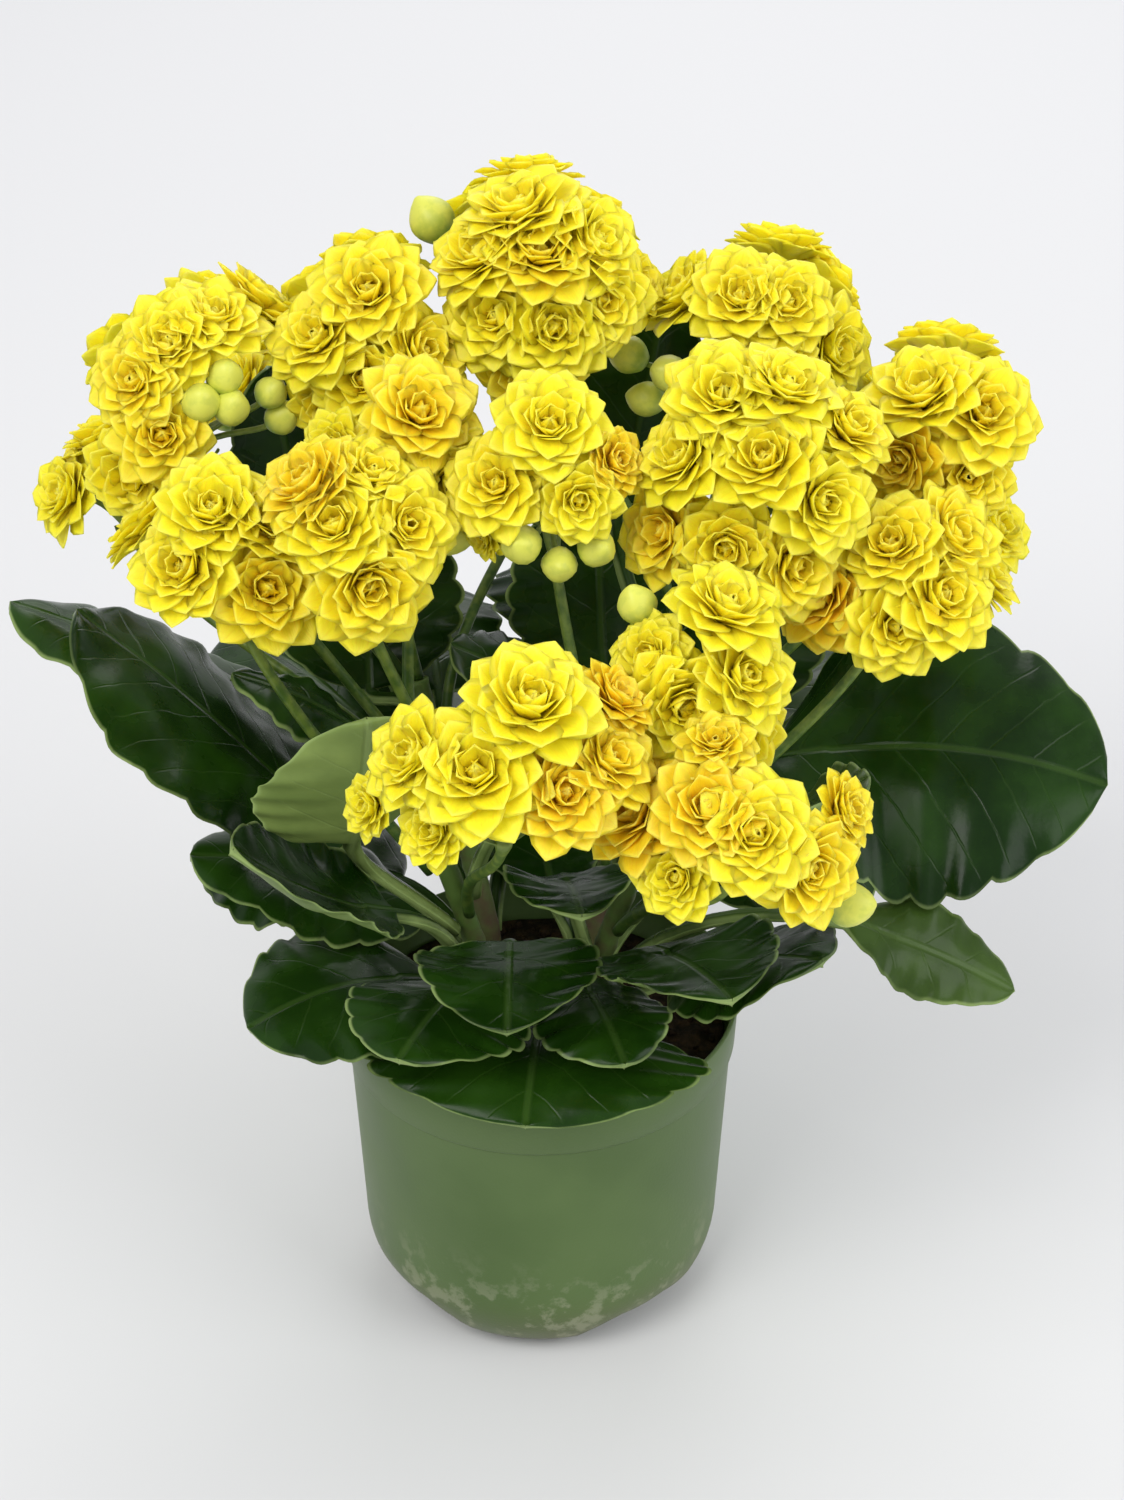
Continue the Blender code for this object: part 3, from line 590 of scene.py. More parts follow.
def build_pot(surface):
    """The thin shell with a rounded lip, a stepped rim band and a drain hole in each pocket."""
    band_foot = POT_HEIGHT - BAND_HEIGHT
    band = RIM_RADIUS - BAND_TAPER
    lip = []
    for turn in np.linspace(0, math.pi, LIP_POINTS):
        radius = RIM_RADIUS - POT_WALL / 2 + POT_WALL / 2 * math.cos(turn)
        lip.append((radius, POT_HEIGHT - LIP_RISE + LIP_RISE * math.sin(turn), 0))
    outside = [(band - BAND_STEP, band_foot, 0)]
    outside += [(band - inset, band_foot + rise, 0) for inset, rise in BAND_CORNER]
    inside = [
        (band - POT_WALL, band_foot + BAND_INSIDE_RISE, 0),
        (band - BAND_STEP - POT_WALL, band_foot - BAND_INSIDE_DROP, 0),
    ]
    profile = foot_curve(0.0)[::-1] + outside + lip + inside + foot_curve(POT_WALL)
    skin = Skin()
    points = []
    for radius, height, share in profile:
        for index in range(POT_SIDES):
            turn = 2 * math.pi * index / POT_SIDES
            lift = POCKET_LIFT * share * pocket_share(turn)
            points.append((radius * math.cos(turn), radius * math.sin(turn), height + lift))
    skin.add(np.array(points), loft_faces(len(profile), POT_SIDES))
    pot = skin.piece("pot_shell", surface, ["pot"])
    pot.data.set_sharp_from_angle(angle=math.radians(POT_SHARP_ANGLE))
    for index in range(POCKET_COUNT):
        place = toward(POCKET_FIRST_ANGLE + 360 * index / POCKET_COUNT, 0) * DRAIN_PLACE
        cutter_skin = Skin()
        ends = [place + UP * height for height in DRAIN_CUT]
        add_tube(cutter_skin, ends, [DRAIN_RADIUS] * len(ends), DRAIN_SIDES)
        cutter = cutter_skin.piece(f"cutter_{index}", surface, [])
        cut = pot.modifiers.new("drain", "BOOLEAN")
        cut.operation = "DIFFERENCE"
        cut.solver = "EXACT"
        cut.object = cutter
        bpy.context.view_layer.update()
        shape = pot.evaluated_get(bpy.context.evaluated_depsgraph_get())
        cut_mesh = bpy.data.meshes.new_from_object(shape)
        pot.modifiers.clear()
        pot.data = cut_mesh
        bpy.data.objects.remove(cutter, do_unlink=True)


def soil_height(share):
    """The mound's height at a share of the soil's radius."""
    return SOIL_EDGE + (SOIL_MIDDLE - SOIL_EDGE) * (1 - share**2)


def build_soil(surface, rng):
    """Moist peat: an uneven mound with loose crumbs on it."""
    skin = Skin()
    points = []
    for ring in range(SOIL_RINGS):
        share = 1 - ring / SOIL_RINGS
        calm = 1.0 if share < SOIL_CALM_START else SOIL_CALM_SHARE
        for side in range(SOIL_SIDES):
            turn = 2 * math.pi * side / SOIL_SIDES
            spot = Vector((math.cos(turn), math.sin(turn), 0)) * (SOIL_RADIUS * share)
            rough = SOIL_ROUGHNESS * noise.fractal(
                spot * SOIL_NOISE_RATE, SOIL_NOISE_FADE, SOIL_NOISE_RATIO, SOIL_NOISE_OCTAVES)
            points.append((spot.x, spot.y, soil_height(share) - SOIL_ROUGHNESS + rough * calm))
    rim = [(x, y, SOIL_EDGE - SOIL_DEPTH) for x, y, _z in points[:SOIL_SIDES]]
    skin.add(np.array(rim + points), loft_faces(SOIL_RINGS + 1, SOIL_SIDES))
    ball = bmesh.new()
    bmesh.ops.create_icosphere(ball, subdivisions=1, radius=1)
    shape = np.array([vert.co[:] for vert in ball.verts])
    ball_faces = [[vert.index for vert in face.verts] for face in ball.faces]
    ball.free()
    for _ in range(CRUMB_COUNT):
        turn = rng.uniform(0, 2 * math.pi)
        away = (SOIL_RADIUS - CRUMB_MARGIN) * math.sqrt(rng.uniform(0, 1))
        size = rng.uniform(*CRUMB_SIZES) * rng.uniform(*CRUMB_SHRINK)
        height = soil_height(away / SOIL_RADIUS) - SOIL_ROUGHNESS * CRUMB_SINK
        spot = np.array([away * math.cos(turn), away * math.sin(turn), height])
        squash = rng.uniform(*CRUMB_SQUASH, 3)
        rough = 1 + rng.uniform(-CRUMB_UNEVENNESS, CRUMB_UNEVENNESS, (len(shape), 1))
        skin.add(shape * rough * squash * size + spot, ball_faces)
    skin.piece("soil_peat", surface, ["soil"])


def build_stems(surface, rng):
    """Half-woody stems, swollen at each pair of leaf scars."""
    for name in STEMS:
        skin = Skin()
        line = stem_line(name, STEM_FINE_STEPS)
        radii = []
        for index in range(len(line)):
            share = index / (len(line) - 1)
            radius = STEM_RADIUS + (STEM_TOP_RADIUS - STEM_RADIUS) * share
            knot = max(0.0, math.cos(share * 2 * math.pi * KNOT_COUNT)) ** KNOT_SHARPNESS
            uneven = rng.uniform(-STEM_UNEVENNESS, STEM_UNEVENNESS)
            radii.append(radius * (STEM_THINNING + KNOT_SWELL * knot + uneven))
        shares = np.linspace(0, 1, len(line))
        add_tube(skin, line, radii, STEM_SIDES, along=np.repeat(shares, STEM_SIDES))
        skin.piece(f"stem_{name}_bark", surface, [f"stem_{name}"])


def leaf_outline(t, lobe_depth):
    """Half the blade's width, from 0 to 1, at a share t of its length, with rounded teeth."""
    if not 0 < t < 1:
        return 0.0
    body = math.sin(math.pi * t**LEAF_LENGTH_POWER) ** LEAF_FULLNESS_POWER
    tooth = abs(math.sin(math.pi * LEAF_LOBES * t)) ** LEAF_LOBE_POWER
    return body * (1 - lobe_depth * (1 - tooth) * min(1.0, LEAF_LOBE_START * t))


def leaf_section(half, middle_depth, edge_depth, turn_up, wave):
    """A rounded section: each point's place across and up, whether it lies under, and its share."""
    steps = range(-LEAF_ACROSS, LEAF_ACROSS + 1)
    shares = [math.sin(math.pi / 2 * (index / LEAF_ACROSS)) for index in steps]
    ribbed = middle_depth < LEAF_RIB_THICKNESS_LIMIT
    ring = []
    for level, row in ((1, shares), (-1, shares[::-1])):
        for share in row:
            depth = edge_depth + (middle_depth - edge_depth) * (1 - share * share)
            shape = (1 - abs(share) ** LEAF_EDGE_ROUNDNESS) ** 0.5
            rib = LEAF_RIB_DEPTH * math.exp(-((share / LEAF_RIB_WIDTH) ** 2)) * ribbed
            lift = turn_up * share * share + wave * share * abs(share)
            up = level * depth / 2 * shape + lift - rib * (1 if level > 0 else LEAF_RIB_BELOW)
            ring.append((half * share, up, level < 0, share))
    return ring


def build_leaf(name, surface, rng):
    """A thick leaf with rounded teeth and wavy margins, on its stalk."""
    stem, share, start, tip, width, bow, turn_up, roll, tone = LEAVES[name]
    start, tip = Vector(start), Vector(tip)
    foot, foot_direction = beside_stem(stem, share, start, PETIOLE_HALF_DEPTH)
    reach = (start - foot).length
    pull = (tip - start) + UP * (4 * bow)
    length = (tip - start).length
    phase = rng.uniform(0, 2 * math.pi)
    points, places, unders = [], [], []

    def add_ring(point, along, across, t, half, depth, edge, lift, wave):
        """Adds one ring of the leaf's skin."""
        normal = across.cross(along).normalized()
        for side, up, under, part in leaf_section(half, depth, edge, lift, wave):
            spot = Vector((t * length / LEAF_LUMP_SIZE, side / LEAF_LUMP_SIZE, phase * 3))
            up += LEAF_LUMP * noise.noise(spot) * min(1.0, abs(side) / LEAF_LUMP_START) * (t > 0)
            points.append(point + across * side + normal * up)
            places.append((t * length, side, half * (1 - abs(part))))
            unders.append(float(under))

    stalk = bend(foot, foot_direction * reach, start, pull.normalized() * reach, PETIOLE_STEPS)
    for point, along in list(zip(stalk, headings(stalk)))[:-1]:
        across, _over = side_axes(along)
        add_ring(point, along, -across, PETIOLE_PLACE, PETIOLE_HALF_WIDTH, PETIOLE_HALF_DEPTH * 2,
                 PETIOLE_HALF_DEPTH, 0, 0)
    shares = [index / BLADE_STEPS for index in range(BLADE_STEPS + 1)]
    blade = [start.lerp(tip, t) + UP * (4 * bow * t * (1 - t)) for t in shares]
    for t, point, along in zip(shares, blade, headings(blade)):
        level, over = side_axes(along)
        lean = math.radians(roll) * min(1.0, 3 * t)
        across = -(level * math.cos(lean) + over * math.sin(lean))
        outline = leaf_outline(t, LEAF_LOBE_DEPTH * (1 - LEAF_PALE_SMOOTHNESS * tone))
        half = max(PETIOLE_HALF_WIDTH * (1 - t), width / 2 * outline, LEAF_TIP_HALF_WIDTH)
        stalk_share = max(0.0, 1 - 4 * t)
        depth = LEAF_MIDDLE_THICKNESS + (PETIOLE_HALF_DEPTH * 2 - LEAF_MIDDLE_THICKNESS) * stalk_share
        wave = LEAF_WAVE * math.sin(2 * math.pi * LEAF_WAVE_COUNT * t + phase) * outline
        ripple = LEAF_RIPPLE * LEAF_WAVE * math.sin(2 * math.pi * LEAF_LOBES * t) * outline
        lift = turn_up * outline + ripple
        add_ring(point, along, across, t, half, depth, LEAF_EDGE_THICKNESS, lift, wave)
    skin = Skin()
    sides = len(points) // (PETIOLE_STEPS + BLADE_STEPS + 1)
    skin.add(np.array(points), loft_faces(PETIOLE_STEPS + BLADE_STEPS + 1, sides),
             place=np.array(places), under=np.array(unders), tone=np.full(len(points), float(tone)))
    skin.piece(f"leaf_{name}_blade", surface, [f"leaf_{name}"])


def petal_width(t):
    """Half a petal's width, from 0 to 1, at a share t of its length; the tip is a broad point."""
    if t < PETAL_SHOULDER:
        rise = math.sin(math.pi / 2 * t / PETAL_SHOULDER)
        return PETAL_FOOT_WIDTH + (1 - PETAL_FOOT_WIDTH) * rise
    if t < PETAL_TIP_START:
        fall = (t - PETAL_SHOULDER) / (PETAL_TIP_START - PETAL_SHOULDER)
        return 1 - (1 - PETAL_TIP_WIDTH) * fall**2
    left = (1 - t) / (1 - PETAL_TIP_START)
    return max(PETAL_END_WIDTH, PETAL_TIP_WIDTH * left**PETAL_TIP_POWER)


PETAL_WIDTHS = np.array([petal_width(t) for t in PETAL_SHARES])
# A petal's section, point by point: its place across, and over or under
PETAL_SIDES = np.array([1, 0.55, 0, -0.55, -1, -0.55, 0, 0.55])
PETAL_LEVELS = np.array([0, 1, 1, 1, 0, -1, -1, -1])
PETAL_FACES = loft_faces(len(PETAL_SHARES), len(PETAL_SIDES))


def add_petal(skin, base, axes, turn, length, half, angles, cup, foot, scale, values, rng):
    """One thin petal: its midrib bends from the first angle off the flower's axis to the last."""
    bends = np.radians(angles[0] + (angles[1] - angles[0]) * PETAL_SHARES**PETAL_BEND_POWER)
    steps = np.diff(PETAL_SHARES, prepend=0) * length
    away = TUBE_RADIUS * PETAL_FOOT_PLACE + np.cumsum(np.sin(bends) * steps)
    height = foot + np.cumsum(np.cos(bends) * steps)
    half_widths = PETAL_WIDTHS * half
    tilt = rng.uniform(-PETAL_TILT, PETAL_TILT)
    curl = rng.uniform(*PETAL_CURL)
    side = half_widths[:, None] * PETAL_SIDES
    lift = cup * half_widths[:, None] * PETAL_SIDES ** 2 + tilt * side
    lift = lift - PETAL_CREASE * half_widths[:, None] * (PETAL_SIDES == 0)
    lift = lift + PETAL_LEVELS * PETAL_THICKNESS / 2
    twist = np.sin(PETAL_CURL_RATE * PETAL_SHARES[:, None] + PETAL_CURL_SHIFT * tilt)
    lift = lift + PETAL_CURL_HEIGHT * curl * twist * PETAL_SIDES
    radial = away[:, None] - np.cos(bends)[:, None] * lift
    upward = height[:, None] + np.sin(bends)[:, None] * lift
    cosine, sine = math.cos(turn), math.sin(turn)
    first = radial * cosine - side * sine
    second = radial * sine + side * cosine
    local = np.stack([first.ravel(), second.ravel(), upward.ravel()], axis=1) * scale
    points = local @ axes + base
    along = np.repeat(PETAL_SHARES, len(PETAL_SIDES))
    across = np.tile(PETAL_SIDES, len(PETAL_SHARES))
    age, depth = values
    place = np.stack([along, across, np.full(len(points), depth)], axis=1)
    skin.add(points, PETAL_FACES, place=place, age=np.full(len(points), age))


def build_flower(name, base, out, size, age, surface, head, rng):
    """A double flower: whorls of broad pointed petals, open outside and closed in the middle."""
    skin = Skin()
    level, over = side_axes(out)
    axes = np.array([level[:], over[:], out[:]])
    scale = size / FLOWER_SIZE
    openness = rng.uniform(*FLOWER_OPENNESS)
    start = rng.uniform(0, 2 * math.pi)
    for order, (count, length, half, foot_angle, tip_angle, cup, foot) in enumerate(WHORLS):
        depth = order / (len(WHORLS) - 1)
        for index in range(count):
            place = index + rng.uniform(-PETAL_STRAY, PETAL_STRAY)
            turn = start + WHORL_TURN * order + 2 * math.pi * place / count
            own_length = length * rng.uniform(*PETAL_LENGTHS)
            own_half = half * rng.uniform(*PETAL_WIDTH_RANGE)
            own_tip = tip_angle + openness + rng.uniform(-PETAL_TIP_STRAY, PETAL_TIP_STRAY)
            own_age = min(1.0, max(0.0, age + rng.uniform(-PETAL_AGE_STRAY, PETAL_AGE_STRAY)))
            own_foot = foot_angle + rng.uniform(-PETAL_FOOT_STRAY, PETAL_FOOT_STRAY)
            own_cup = cup * rng.uniform(*PETAL_CUPS)
            add_petal(skin, np.array(base), axes, turn, own_length, own_half,
                      (own_foot, own_tip), own_cup, foot, scale, (own_age, depth), rng)
    skin.piece(name, surface, [head])


def add_sepals(skin, base, out, size, spread):
    """A small cup of four pointed sepals round the foot of a flower or bud."""
    level, over = side_axes(out)
    for index in range(SEPAL_COUNT):
        turn = 2 * math.pi * (index + 0.5) / SEPAL_COUNT
        radial = level * math.cos(turn) + over * math.sin(turn)
        across = radial.cross(out)
        points = []
        for row in range(SEPAL_ROWS):
            t = row / (SEPAL_ROWS - 1)
            half = SEPAL_HALF_WIDTH * size * max(0.04, (1 - t**1.6))
            angle = math.radians(spread * (0.4 + 0.6 * t))
            middle = base + radial * (size * (0.9 + SEPAL_LENGTH * t * math.sin(angle)))
            middle += out * (size * SEPAL_LENGTH * t * math.cos(angle))
            normal = radial * math.cos(angle) - out * math.sin(angle)
            for side, face in BLADE_SECTION:
                up = SEPAL_HALF_THICKNESS * face * size - SEPAL_CUP * half * side**2
                points.append(middle + across * (half * side) + normal * up)
        faces = loft_faces(SEPAL_ROWS, len(BLADE_SECTION))
        skin.add(np.array(points), faces, along=np.full(len(points), 0.6))


def add_bud(skin, middle, out, size, rng):
    """A closed bud: an egg shape with four low folds that wind to its tip."""
    level, over = side_axes(out)
    radius = size / 2
    phase = rng.uniform(0, 2 * math.pi)
    points = []
    along = []
    for row in range(BUD_ROWS):
        t = row / (BUD_ROWS - 1)
        width = radius * max(0.05, math.sin(math.pi * (0.12 + 0.86 * t))) ** 0.75
        height = radius * (-1.0 + 2.25 * t)
        for side in range(BUD_SIDES):
            turn = 2 * math.pi * side / BUD_SIDES
            fold = 1 + BUD_FOLD_DEPTH * t * math.cos(BUD_FOLDS * (turn + phase) + BUD_FOLD_TWIST * t)
            spot = level * (width * fold * math.cos(turn)) + over * (width * fold * math.sin(turn))
            points.append(middle + spot + out * height)
            along.append(t)
    skin.add(np.array(points), loft_faces(BUD_ROWS, BUD_SIDES), along=np.array(along))


def add_bract(skin, place, direction, length):
    """A small narrow leaf at a fork of the stalk."""
    tip = place + direction * length + UP * length * 0.3
    line = bend(place, direction * length, tip, UP * length * 0.5, BRACT_STEPS)
    points = []
    for index, (point, along) in enumerate(zip(line, headings(line))):
        t = index / BRACT_STEPS
        half = BRACT_HALF_WIDTH * max(0.06, math.sin(math.pi * min(0.98, 0.15 + 0.85 * t)) ** 0.7)
        across, over = side_axes(along)
        for side, face in BLADE_SECTION:
            up = BRACT_HALF_THICKNESS * face + BRACT_CUP * side * side
            points.append(point + across * (half * side) + over * up)
    faces = loft_faces(BRACT_STEPS + 1, len(BLADE_SECTION))
    skin.add(np.array(points), faces, along=np.full(len(points), 0.4))


def add_pedicel(skin, fork, arrive, base, out, foot_radius):
    """A flower's or bud's own stalk, from the fork to its base."""
    span = (base - fork).length
    leave = (base - fork + arrive * span * PEDICEL_RISE) * PEDICEL_START_PULL
    line = bend(fork, leave, base, out * span * PEDICEL_END_PULL, PEDICEL_STEPS)
    radii = np.linspace(foot_radius, PEDICEL_RADIUS, len(line))
    shades = np.repeat(np.linspace(0.5, 0.8, len(line)), PEDICEL_SIDES)
    add_tube(skin, line, radii, PEDICEL_SIDES, along=shades)


def build_head(name, surfaces, rng):
    """A flower head: its branched stalk, sepals, flowers and buds."""
    stem, share, middle, radius, flowers, buds = HEADS[name]
    node = f"flower_head_{name}"
    middle = Vector(middle)
    fork = middle - UP * (radius * FORK_DROP)
    foot, foot_direction = beside_stem(stem, share, fork, STALK_RADIUS)
    reach = (fork - foot).length
    arrive = ((fork - foot).normalized() + UP).normalized()
    stalk = bend(foot, foot_direction * reach, fork, arrive * (reach * STALK_SETTLE), STALK_STEPS)
    greens = Skin()
    radii = np.linspace(STALK_RADIUS, STALK_TOP_RADIUS, len(stalk))
    radii[-len(STALK_TOP_SWELL):] += STALK_TOP_SWELL
    shades = np.repeat(np.linspace(0, 0.5, len(stalk)), STALK_SIDES)
    add_tube(greens, stalk, radii, STALK_SIDES, along=shades)
    for turn in (0, 180):
        spread = toward(rng.uniform(-BRACT_STRAY, BRACT_STRAY) + turn, BRACT_ELEVATION)
        add_bract(greens, fork - arrive * BRACT_DROP, spread, rng.uniform(*BRACT_LENGTHS))
    for number, (azimuth, elevation, size, age) in enumerate(flowers, 1):
        out = toward(azimuth, elevation)
        face = middle + out * radius
        level, over = side_axes(out)
        lean = level * rng.uniform(-1, 1) + over * rng.uniform(-1, 1)
        out = (out + UP * FLOWER_LIFT + lean * FLOWER_LEAN).normalized()
        scale = size / FLOWER_SIZE
        base = face - out * (FLOWER_DEPTH * scale)
        add_pedicel(greens, fork, arrive, base, out, PEDICEL_RADIUS * PEDICEL_SWELL)
        tube = [base - out * TUBE_FOOT] + [base + out * height * scale for height in TUBE_HEIGHTS]
        add_tube(greens, tube, np.array(TUBE_RADII) * scale, TUBE_SIDES,
                 along=np.repeat(TUBE_SHADES, TUBE_SIDES))
        add_sepals(greens, base, out, scale, SEPAL_SPREAD)
        label = f"flower_{name}_{number:02d}"
        build_flower(label, base, out, size, age, surfaces["petal"], node, rng)
    closed = Skin()
    for azimuth, elevation, size, distance in buds:
        out = toward(azimuth, elevation)
        place = middle + out * (radius * distance)
        out = (out + UP * BUD_LIFT).normalized()
        base = place - out * (size / 2)
        add_pedicel(greens, fork, arrive, base, out, PEDICEL_RADIUS)
        add_sepals(greens, base - out * 0.2, out, size / BUD_USUAL_SIZE, BUD_SEPAL_SPREAD)
        add_bud(closed, place, out, size, rng)
    greens.piece(f"stalks_{name}", surfaces["stalk"], [node])
    if buds:
        closed.piece(f"buds_{name}", surfaces["bud"], [node])


def shader_for(name, roughness, specular=0.5):
    """A new material, its node tree and its Principled shader."""
    made = bpy.data.materials.new(name)
    made.use_nodes = True
    tree = made.node_tree
    shader = tree.nodes["Principled BSDF"]
    shader.inputs["Roughness"].default_value = roughness
    shader.inputs["Specular IOR Level"].default_value = specular
    return made, tree, shader


def attribute(tree, name, output="Fac"):
    """A value stored on the mesh."""
    node = tree.nodes.new("ShaderNodeAttribute")
    node.attribute_name = name
    return node.outputs[output]


def paint(tree, shader, colour):
    """Gives the shader its colour."""
    tree.links.new(colour, shader.inputs["Base Color"])


def split(tree, vector):
    """A vector's three parts."""
    node = tree.nodes.new("ShaderNodeSeparateXYZ")
    tree.links.new(vector, node.inputs[0])
    return node.outputs


def feed(tree, value, socket):
    """Sets a socket, from another socket or from a number."""
    if isinstance(value, (int, float)):
        socket.default_value = value
    else:
        tree.links.new(value, socket)


def maths(tree, operation, first, second=0.0, clamp=False):
    """The result of one sum."""
    node = tree.nodes.new("ShaderNodeMath")
    node.operation = operation
    node.use_clamp = clamp
    feed(tree, first, node.inputs[0])
    feed(tree, second, node.inputs[1])
    return node.outputs[0]


def times(tree, first, second):
    """The product of two values."""
    return maths(tree, "MULTIPLY", first, second)


def plus(tree, first, second, clamp=False):
    """The sum of two values."""
    return maths(tree, "ADD", first, second, clamp)


def between(tree, value, low, high, out_low=0.0, out_high=1.0):
    """Maps a value smoothly from one range to another."""
    node = tree.nodes.new("ShaderNodeMapRange")
    node.interpolation_type = "SMOOTHSTEP"
    feed(tree, value, node.inputs["Value"])
    sockets = ("From Min", "From Max", "To Min", "To Max")
    for socket, number in zip(sockets, (low, high, out_low, out_high)):
        node.inputs[socket].default_value = number
    return node.outputs["Result"]


def mixed(tree, share, first, second):
    """Two colours mixed by a share; each is a colour or a socket."""
    node = tree.nodes.new("ShaderNodeMix")
    node.data_type = "RGBA"
    feed(tree, share, node.inputs["Factor"])
    for value, socket in ((first, node.inputs[6]), (second, node.inputs[7])):
        if isinstance(value, tuple):
            socket.default_value = (*value, 1.0)
        else:
            tree.links.new(value, socket)
    return node.outputs[2]


def cloud(tree, scale, detail=3.0, vector=None, roughness=0.5):
    """Soft noise, about 0 to 1, in the object's own space or that of a vector."""
    node = tree.nodes.new("ShaderNodeTexNoise")
    node.inputs["Scale"].default_value = scale
    node.inputs["Detail"].default_value = detail
    node.inputs["Roughness"].default_value = roughness
    if vector is None:
        vector = tree.nodes.new("ShaderNodeTexCoord").outputs["Object"]
    tree.links.new(vector, node.inputs["Vector"])
    return node.outputs["Fac"]


def stretched(tree, x, y, z):
    """A vector made of three values."""
    node = tree.nodes.new("ShaderNodeCombineXYZ")
    for value, socket in zip((x, y, z), node.inputs):
        feed(tree, value, socket)
    return node.outputs[0]


def bump(tree, shader, height, distance, strength=1.0):
    """Raises the surface by a height, in metres of distance."""
    node = tree.nodes.new("ShaderNodeBump")
    node.inputs["Strength"].default_value = strength
    node.inputs["Distance"].default_value = distance
    tree.links.new(height, node.inputs["Height"])
    tree.links.new(node.outputs[0], shader.inputs["Normal"])


def petal_material():
    """Lemon to golden petals with fine streaks, paler at their tips and warmer at their feet."""
    made, tree, shader = shader_for("petal_yellow", 0.5, 0.35)
    along, across, depth = split(tree, attribute(tree, "place", "Vector"))[:3]
    age = attribute(tree, "age")
    patch = cloud(tree, 260, 2)
    streak = cloud(tree, 1.0, 3, stretched(tree, times(tree, across, 7.0),
                                           times(tree, along, 1.2),
                                           times(tree, patch, 3.0)))
    warmth = times(tree, age, 0.8)
    warmth = plus(tree, warmth, times(tree, depth, 0.12))
    warmth = plus(tree, warmth, between(tree, along, 0.7, 0.1, 0.0, 0.22))
    warmth = plus(tree, warmth, between(tree, streak, 0.4, 0.75, -0.1, 0.18), clamp=True)
    colour = mixed(tree, warmth, PETAL_LEMON, PETAL_GOLD)
    tip = times(tree, between(tree, along, 0.82, 1.0), 0.45)
    colour = mixed(tree, tip, colour, PETAL_TIP)
    paint(tree, shader, colour)
    bump(tree, shader, streak, 0.0003, 0.5)
    shader.inputs["Subsurface Weight"].default_value = 0.4
    shader.inputs["Subsurface Radius"].default_value = (1.0, 0.85, 0.08)
    shader.inputs["Subsurface Scale"].default_value = 0.002
    return made


def bud_material():
    """Yellow-green buds, greener at the foot."""
    made, tree, shader = shader_for("bud_green", 0.45, 0.4)
    along = attribute(tree, "along")
    patch = cloud(tree, 420, 3)
    share = between(tree, along, 0.0, 0.75)
    share = plus(tree, share, between(tree, patch, 0.3, 0.7, -0.2, 0.2), clamp=True)
    colour = mixed(tree, share, BUD_FOOT, BUD_TIP)
    paint(tree, shader, colour)
    bump(tree, shader, patch, 0.0002, 0.4)
    return made


def stalk_material():
    """Green stalks, yellower towards the flowers."""
    made, tree, shader = shader_for("stalk_green", 0.45, 0.4)
    along = attribute(tree, "along")
    patch = cloud(tree, 300, 3)
    share = plus(tree, along, between(tree, patch, 0.3, 0.7, -0.3, 0.2), clamp=True)
    colour = mixed(tree, share, STALK_LOW, STALK_HIGH)
    paint(tree, shader, colour)
    bump(tree, shader, patch, 0.0002, 0.4)
    return made


def bark_material():
    """Green stems that turn brown and corky towards the soil."""
    made, tree, shader = shader_for("stem_bark", 0.6, 0.4)
    along = attribute(tree, "along")
    patch = cloud(tree, 220, 5)
    share = between(tree, along, 0.0, 0.7)
    share = plus(tree, share, between(tree, patch, 0.3, 0.7, -0.3, 0.3), clamp=True)
    colour = mixed(tree, share, BARK_BROWN, BARK_GREEN)
    paint(tree, shader, colour)
    bump(tree, shader, patch, 0.0006, 0.6)
    return made


def leaf_material():
    """Glossy deep green above and sage below, with faint veins and a pale rim."""
    made, tree, shader = shader_for("leaf_gloss", 0.3, 0.15)
    length, across, margin = split(tree, attribute(tree, "place", "Vector"))[:3]
    under = attribute(tree, "under")
    tone = attribute(tree, "tone")
    patch = cloud(tree, 60, 4)
    fine = cloud(tree, 700, 2)
    away = maths(tree, "ABSOLUTE", across)
    slant = maths(tree, "SUBTRACT", length, times(tree, away, 0.8))
    slant = plus(tree, slant, times(tree, patch, 5.0))
    wave = maths(tree, "ABSOLUTE", maths(tree, "SINE", times(tree, slant, math.pi / 11)))
    side_vein = between(tree, wave, 0.16, 0.0)
    side_vein = times(tree, side_vein, between(tree, margin, 1.0, 7.0))
    rib = between(tree, away, 1.3, 0.3)
    vein = maths(tree, "MAXIMUM", rib, times(tree, side_vein, 0.3))
    light = times(tree, tone, 0.5)
    light = plus(tree, light, between(tree, patch, 0.3, 0.75, 0.0, 0.5), clamp=True)
    top = mixed(tree, light, LEAF_DARK, LEAF_LIGHT)
    top = mixed(tree, times(tree, vein, 0.2), top, LEAF_VEIN)
    sage = mixed(tree, light, SAGE_DARK, SAGE_LIGHT)
    sage = mixed(tree, times(tree, vein, 0.4), sage, SAGE_VEIN)
    paler = between(tree, tone, 0.45, 1.0)
    colour = mixed(tree, maths(tree, "MAXIMUM", under, paler), top, sage)
    rim = times(tree, between(tree, margin, 1.2, 0.3), between(tree, patch, 0.35, 0.65, 0.2, 0.8))
    colour = mixed(tree, rim, colour, LEAF_RIM)
    paint(tree, shader, colour)
    gloss = plus(tree, between(tree, patch, 0.25, 0.8, 0.2, 0.36), times(tree, under, 0.2))
    tree.links.new(gloss, shader.inputs["Roughness"])
    height = plus(tree, times(tree, vein, -0.8), times(tree, fine, 0.1))
    height = plus(tree, height, patch)
    bump(tree, shader, height, 0.0006, 0.5)
    return made


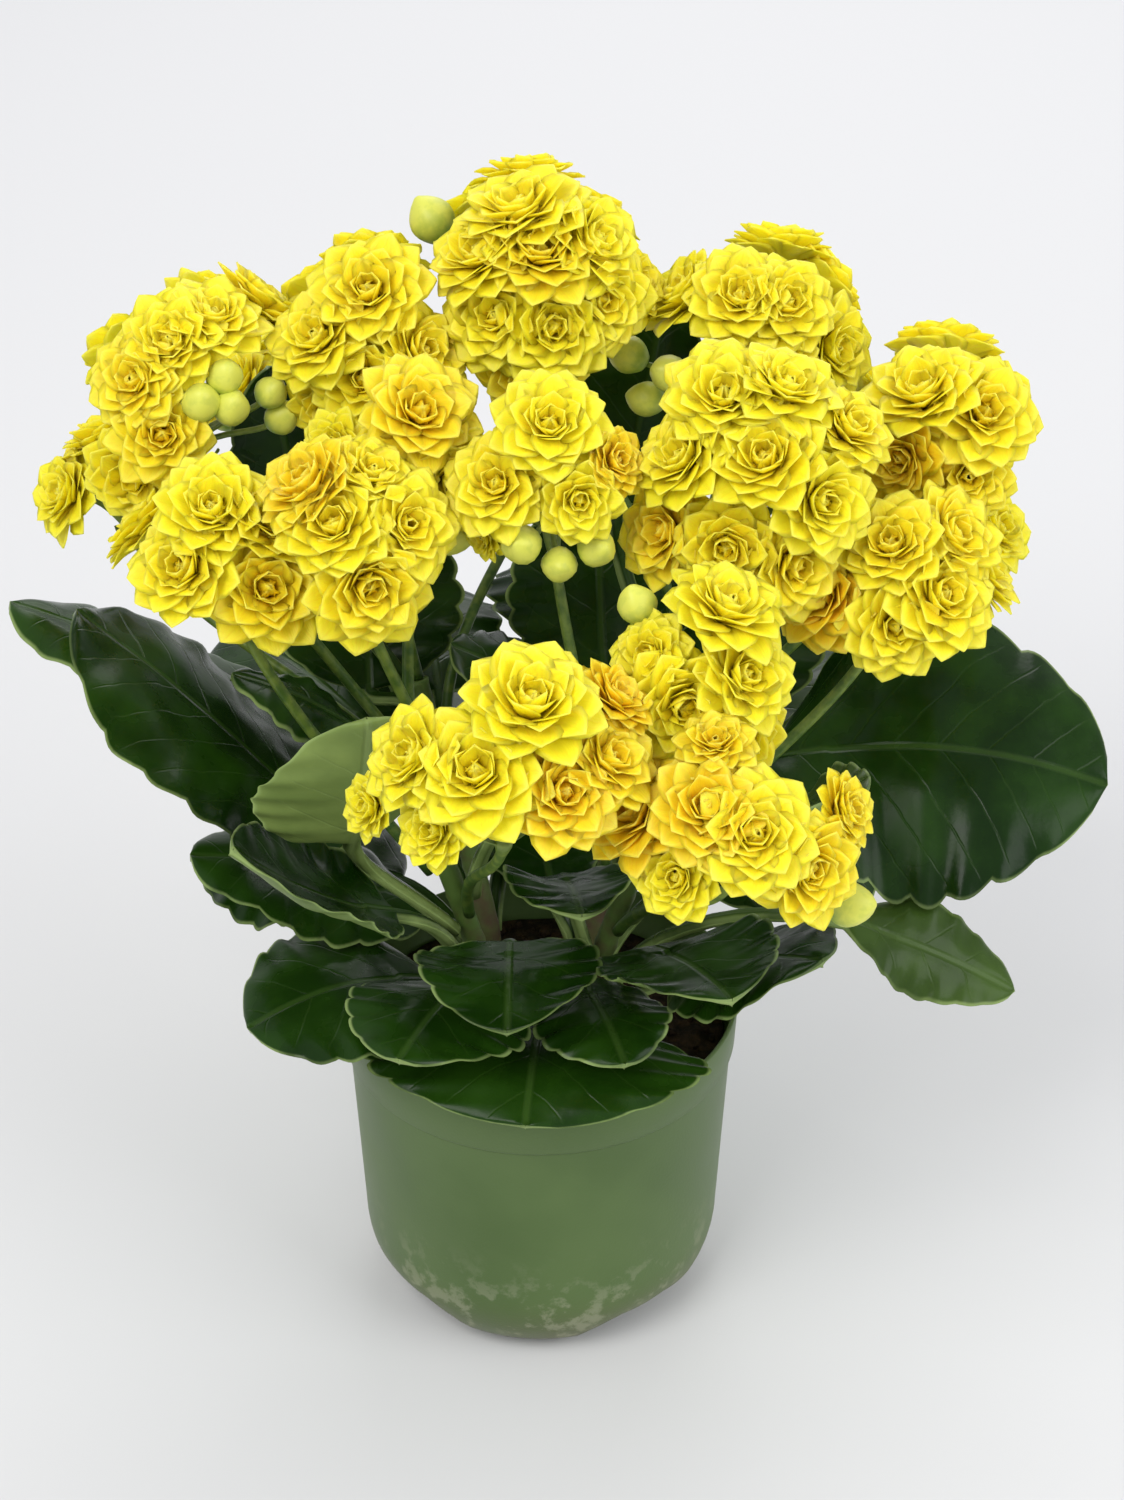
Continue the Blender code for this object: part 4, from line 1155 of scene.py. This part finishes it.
def soil_material():
    """Dark moist peat with brown fibres."""
    made, tree, shader = shader_for("soil_peat", 0.9, 0.25)
    patch = cloud(tree, 350, 6, roughness=0.7)
    colour = mixed(tree, between(tree, patch, 0.35, 0.75), PEAT_DARK, PEAT_LIGHT)
    paint(tree, shader, colour)
    bump(tree, shader, patch, 0.0015, 0.8)
    return made


def pot_material():
    """Sage-green moulded plastic with a faint grain, pale painted highlights low down, and darker and
    browner towards the bottom.
    """
    made, tree, shader = shader_for("pot_plastic", 0.42, 0.42)
    coordinate = tree.nodes.new("ShaderNodeTexCoord").outputs["Object"]
    height = split(tree, coordinate)[2]
    broad = cloud(tree, 25, 3)
    grain = cloud(tree, 1500, 2)
    highlight_noise = cloud(tree, 130, 6, roughness=0.65)
    low = between(tree, height, 0.042, 0.004)
    green = mixed(tree, between(tree, broad, 0.3, 0.7), POT_DARK, POT_LIGHT)
    # Painted highlight: pale noise patches near the foot's rounded corner, which are also made rougher
    painted_highlight = times(tree, between(tree, highlight_noise, 0.5, 0.62), times(tree, low, 0.6))
    # Darker and browner towards the bottom, in broad patches
    browner_low = times(tree, between(tree, height, 0.026, 0.002), between(tree, broad, 0.3, 0.6, 0.25, 0.6))
    colour = mixed(tree, browner_low, green, POT_LOW_BROWN)
    colour = mixed(tree, painted_highlight, colour, POT_PAINTED_HIGHLIGHT)
    paint(tree, shader, colour)
    rough = plus(tree, between(tree, broad, 0.3, 0.7, 0.36, 0.46), times(tree, painted_highlight, 0.3))
    tree.links.new(rough, shader.inputs["Roughness"])
    bump(tree, shader, grain, 0.0001, 0.35)
    return made


def floor_material():
    """Plain pale studio paper."""
    made, _tree, shader = shader_for("studio_paper", 0.9, 0.1)
    shader.inputs["Base Color"].default_value = (*PAPER, 1.0)
    return made


def add_light(name, place, size, power, colour):
    """A square soft box that faces the plant."""
    data = bpy.data.lights.new(name, "AREA")
    data.shape = "SQUARE"
    data.size = size
    data.energy = power
    data.color = colour
    item = bpy.data.objects.new(name, data)
    item.location = place
    view = Vector(LIGHT_TARGET) - Vector(place)
    item.rotation_euler = view.to_track_quat("-Z", "Y").to_euler()
    bpy.context.scene.collection.objects.link(item)


def build_studio():
    """The floor, the lights and the camera."""
    mesh = bpy.data.meshes.new("studio_floor")
    corners = [(x * FLOOR_HALF, y * FLOOR_HALF, 0) for x, y in ((-1, -1), (1, -1), (1, 1), (-1, 1))]
    mesh.from_pydata(corners, [], [(0, 1, 2, 3)])
    mesh.materials.append(floor_material())
    floor = bpy.data.objects.new("studio_floor", mesh)
    floor.location.z = -FLOOR_DROP
    bpy.context.scene.collection.objects.link(floor)
    for name, light in LIGHTS.items():
        add_light(name, *light)
    world = bpy.data.worlds.new("studio")
    world.use_nodes = True
    sky = world.node_tree.nodes["Background"]
    sky.inputs["Color"].default_value = (*SKY, 1.0)
    sky.inputs["Strength"].default_value = SKY_STRENGTH
    bpy.context.scene.world = world
    data = bpy.data.cameras.new("camera")
    data.lens = CAMERA_LENS
    camera = bpy.data.objects.new("camera", data)
    camera.location = CAMERA_PLACE
    camera.rotation_euler = (math.radians(CAMERA_PITCH), 0, 0)
    bpy.context.scene.collection.objects.link(camera)
    bpy.context.scene.camera = camera
    bpy.context.scene.view_settings.view_transform = "Standard"


def build_plant():
    """Every piece of the plant and its pot."""
    rng = np.random.default_rng(SEED)
    build_pot(pot_material())
    build_soil(soil_material(), rng)
    build_stems(bark_material(), rng)
    leaf = leaf_material()
    for name in LEAVES:
        build_leaf(name, leaf, rng)
    surfaces = {"petal": petal_material(), "bud": bud_material(), "stalk": stalk_material()}
    for name in HEADS:
        build_head(name, surfaces, rng)


build_studio()
build_plant()
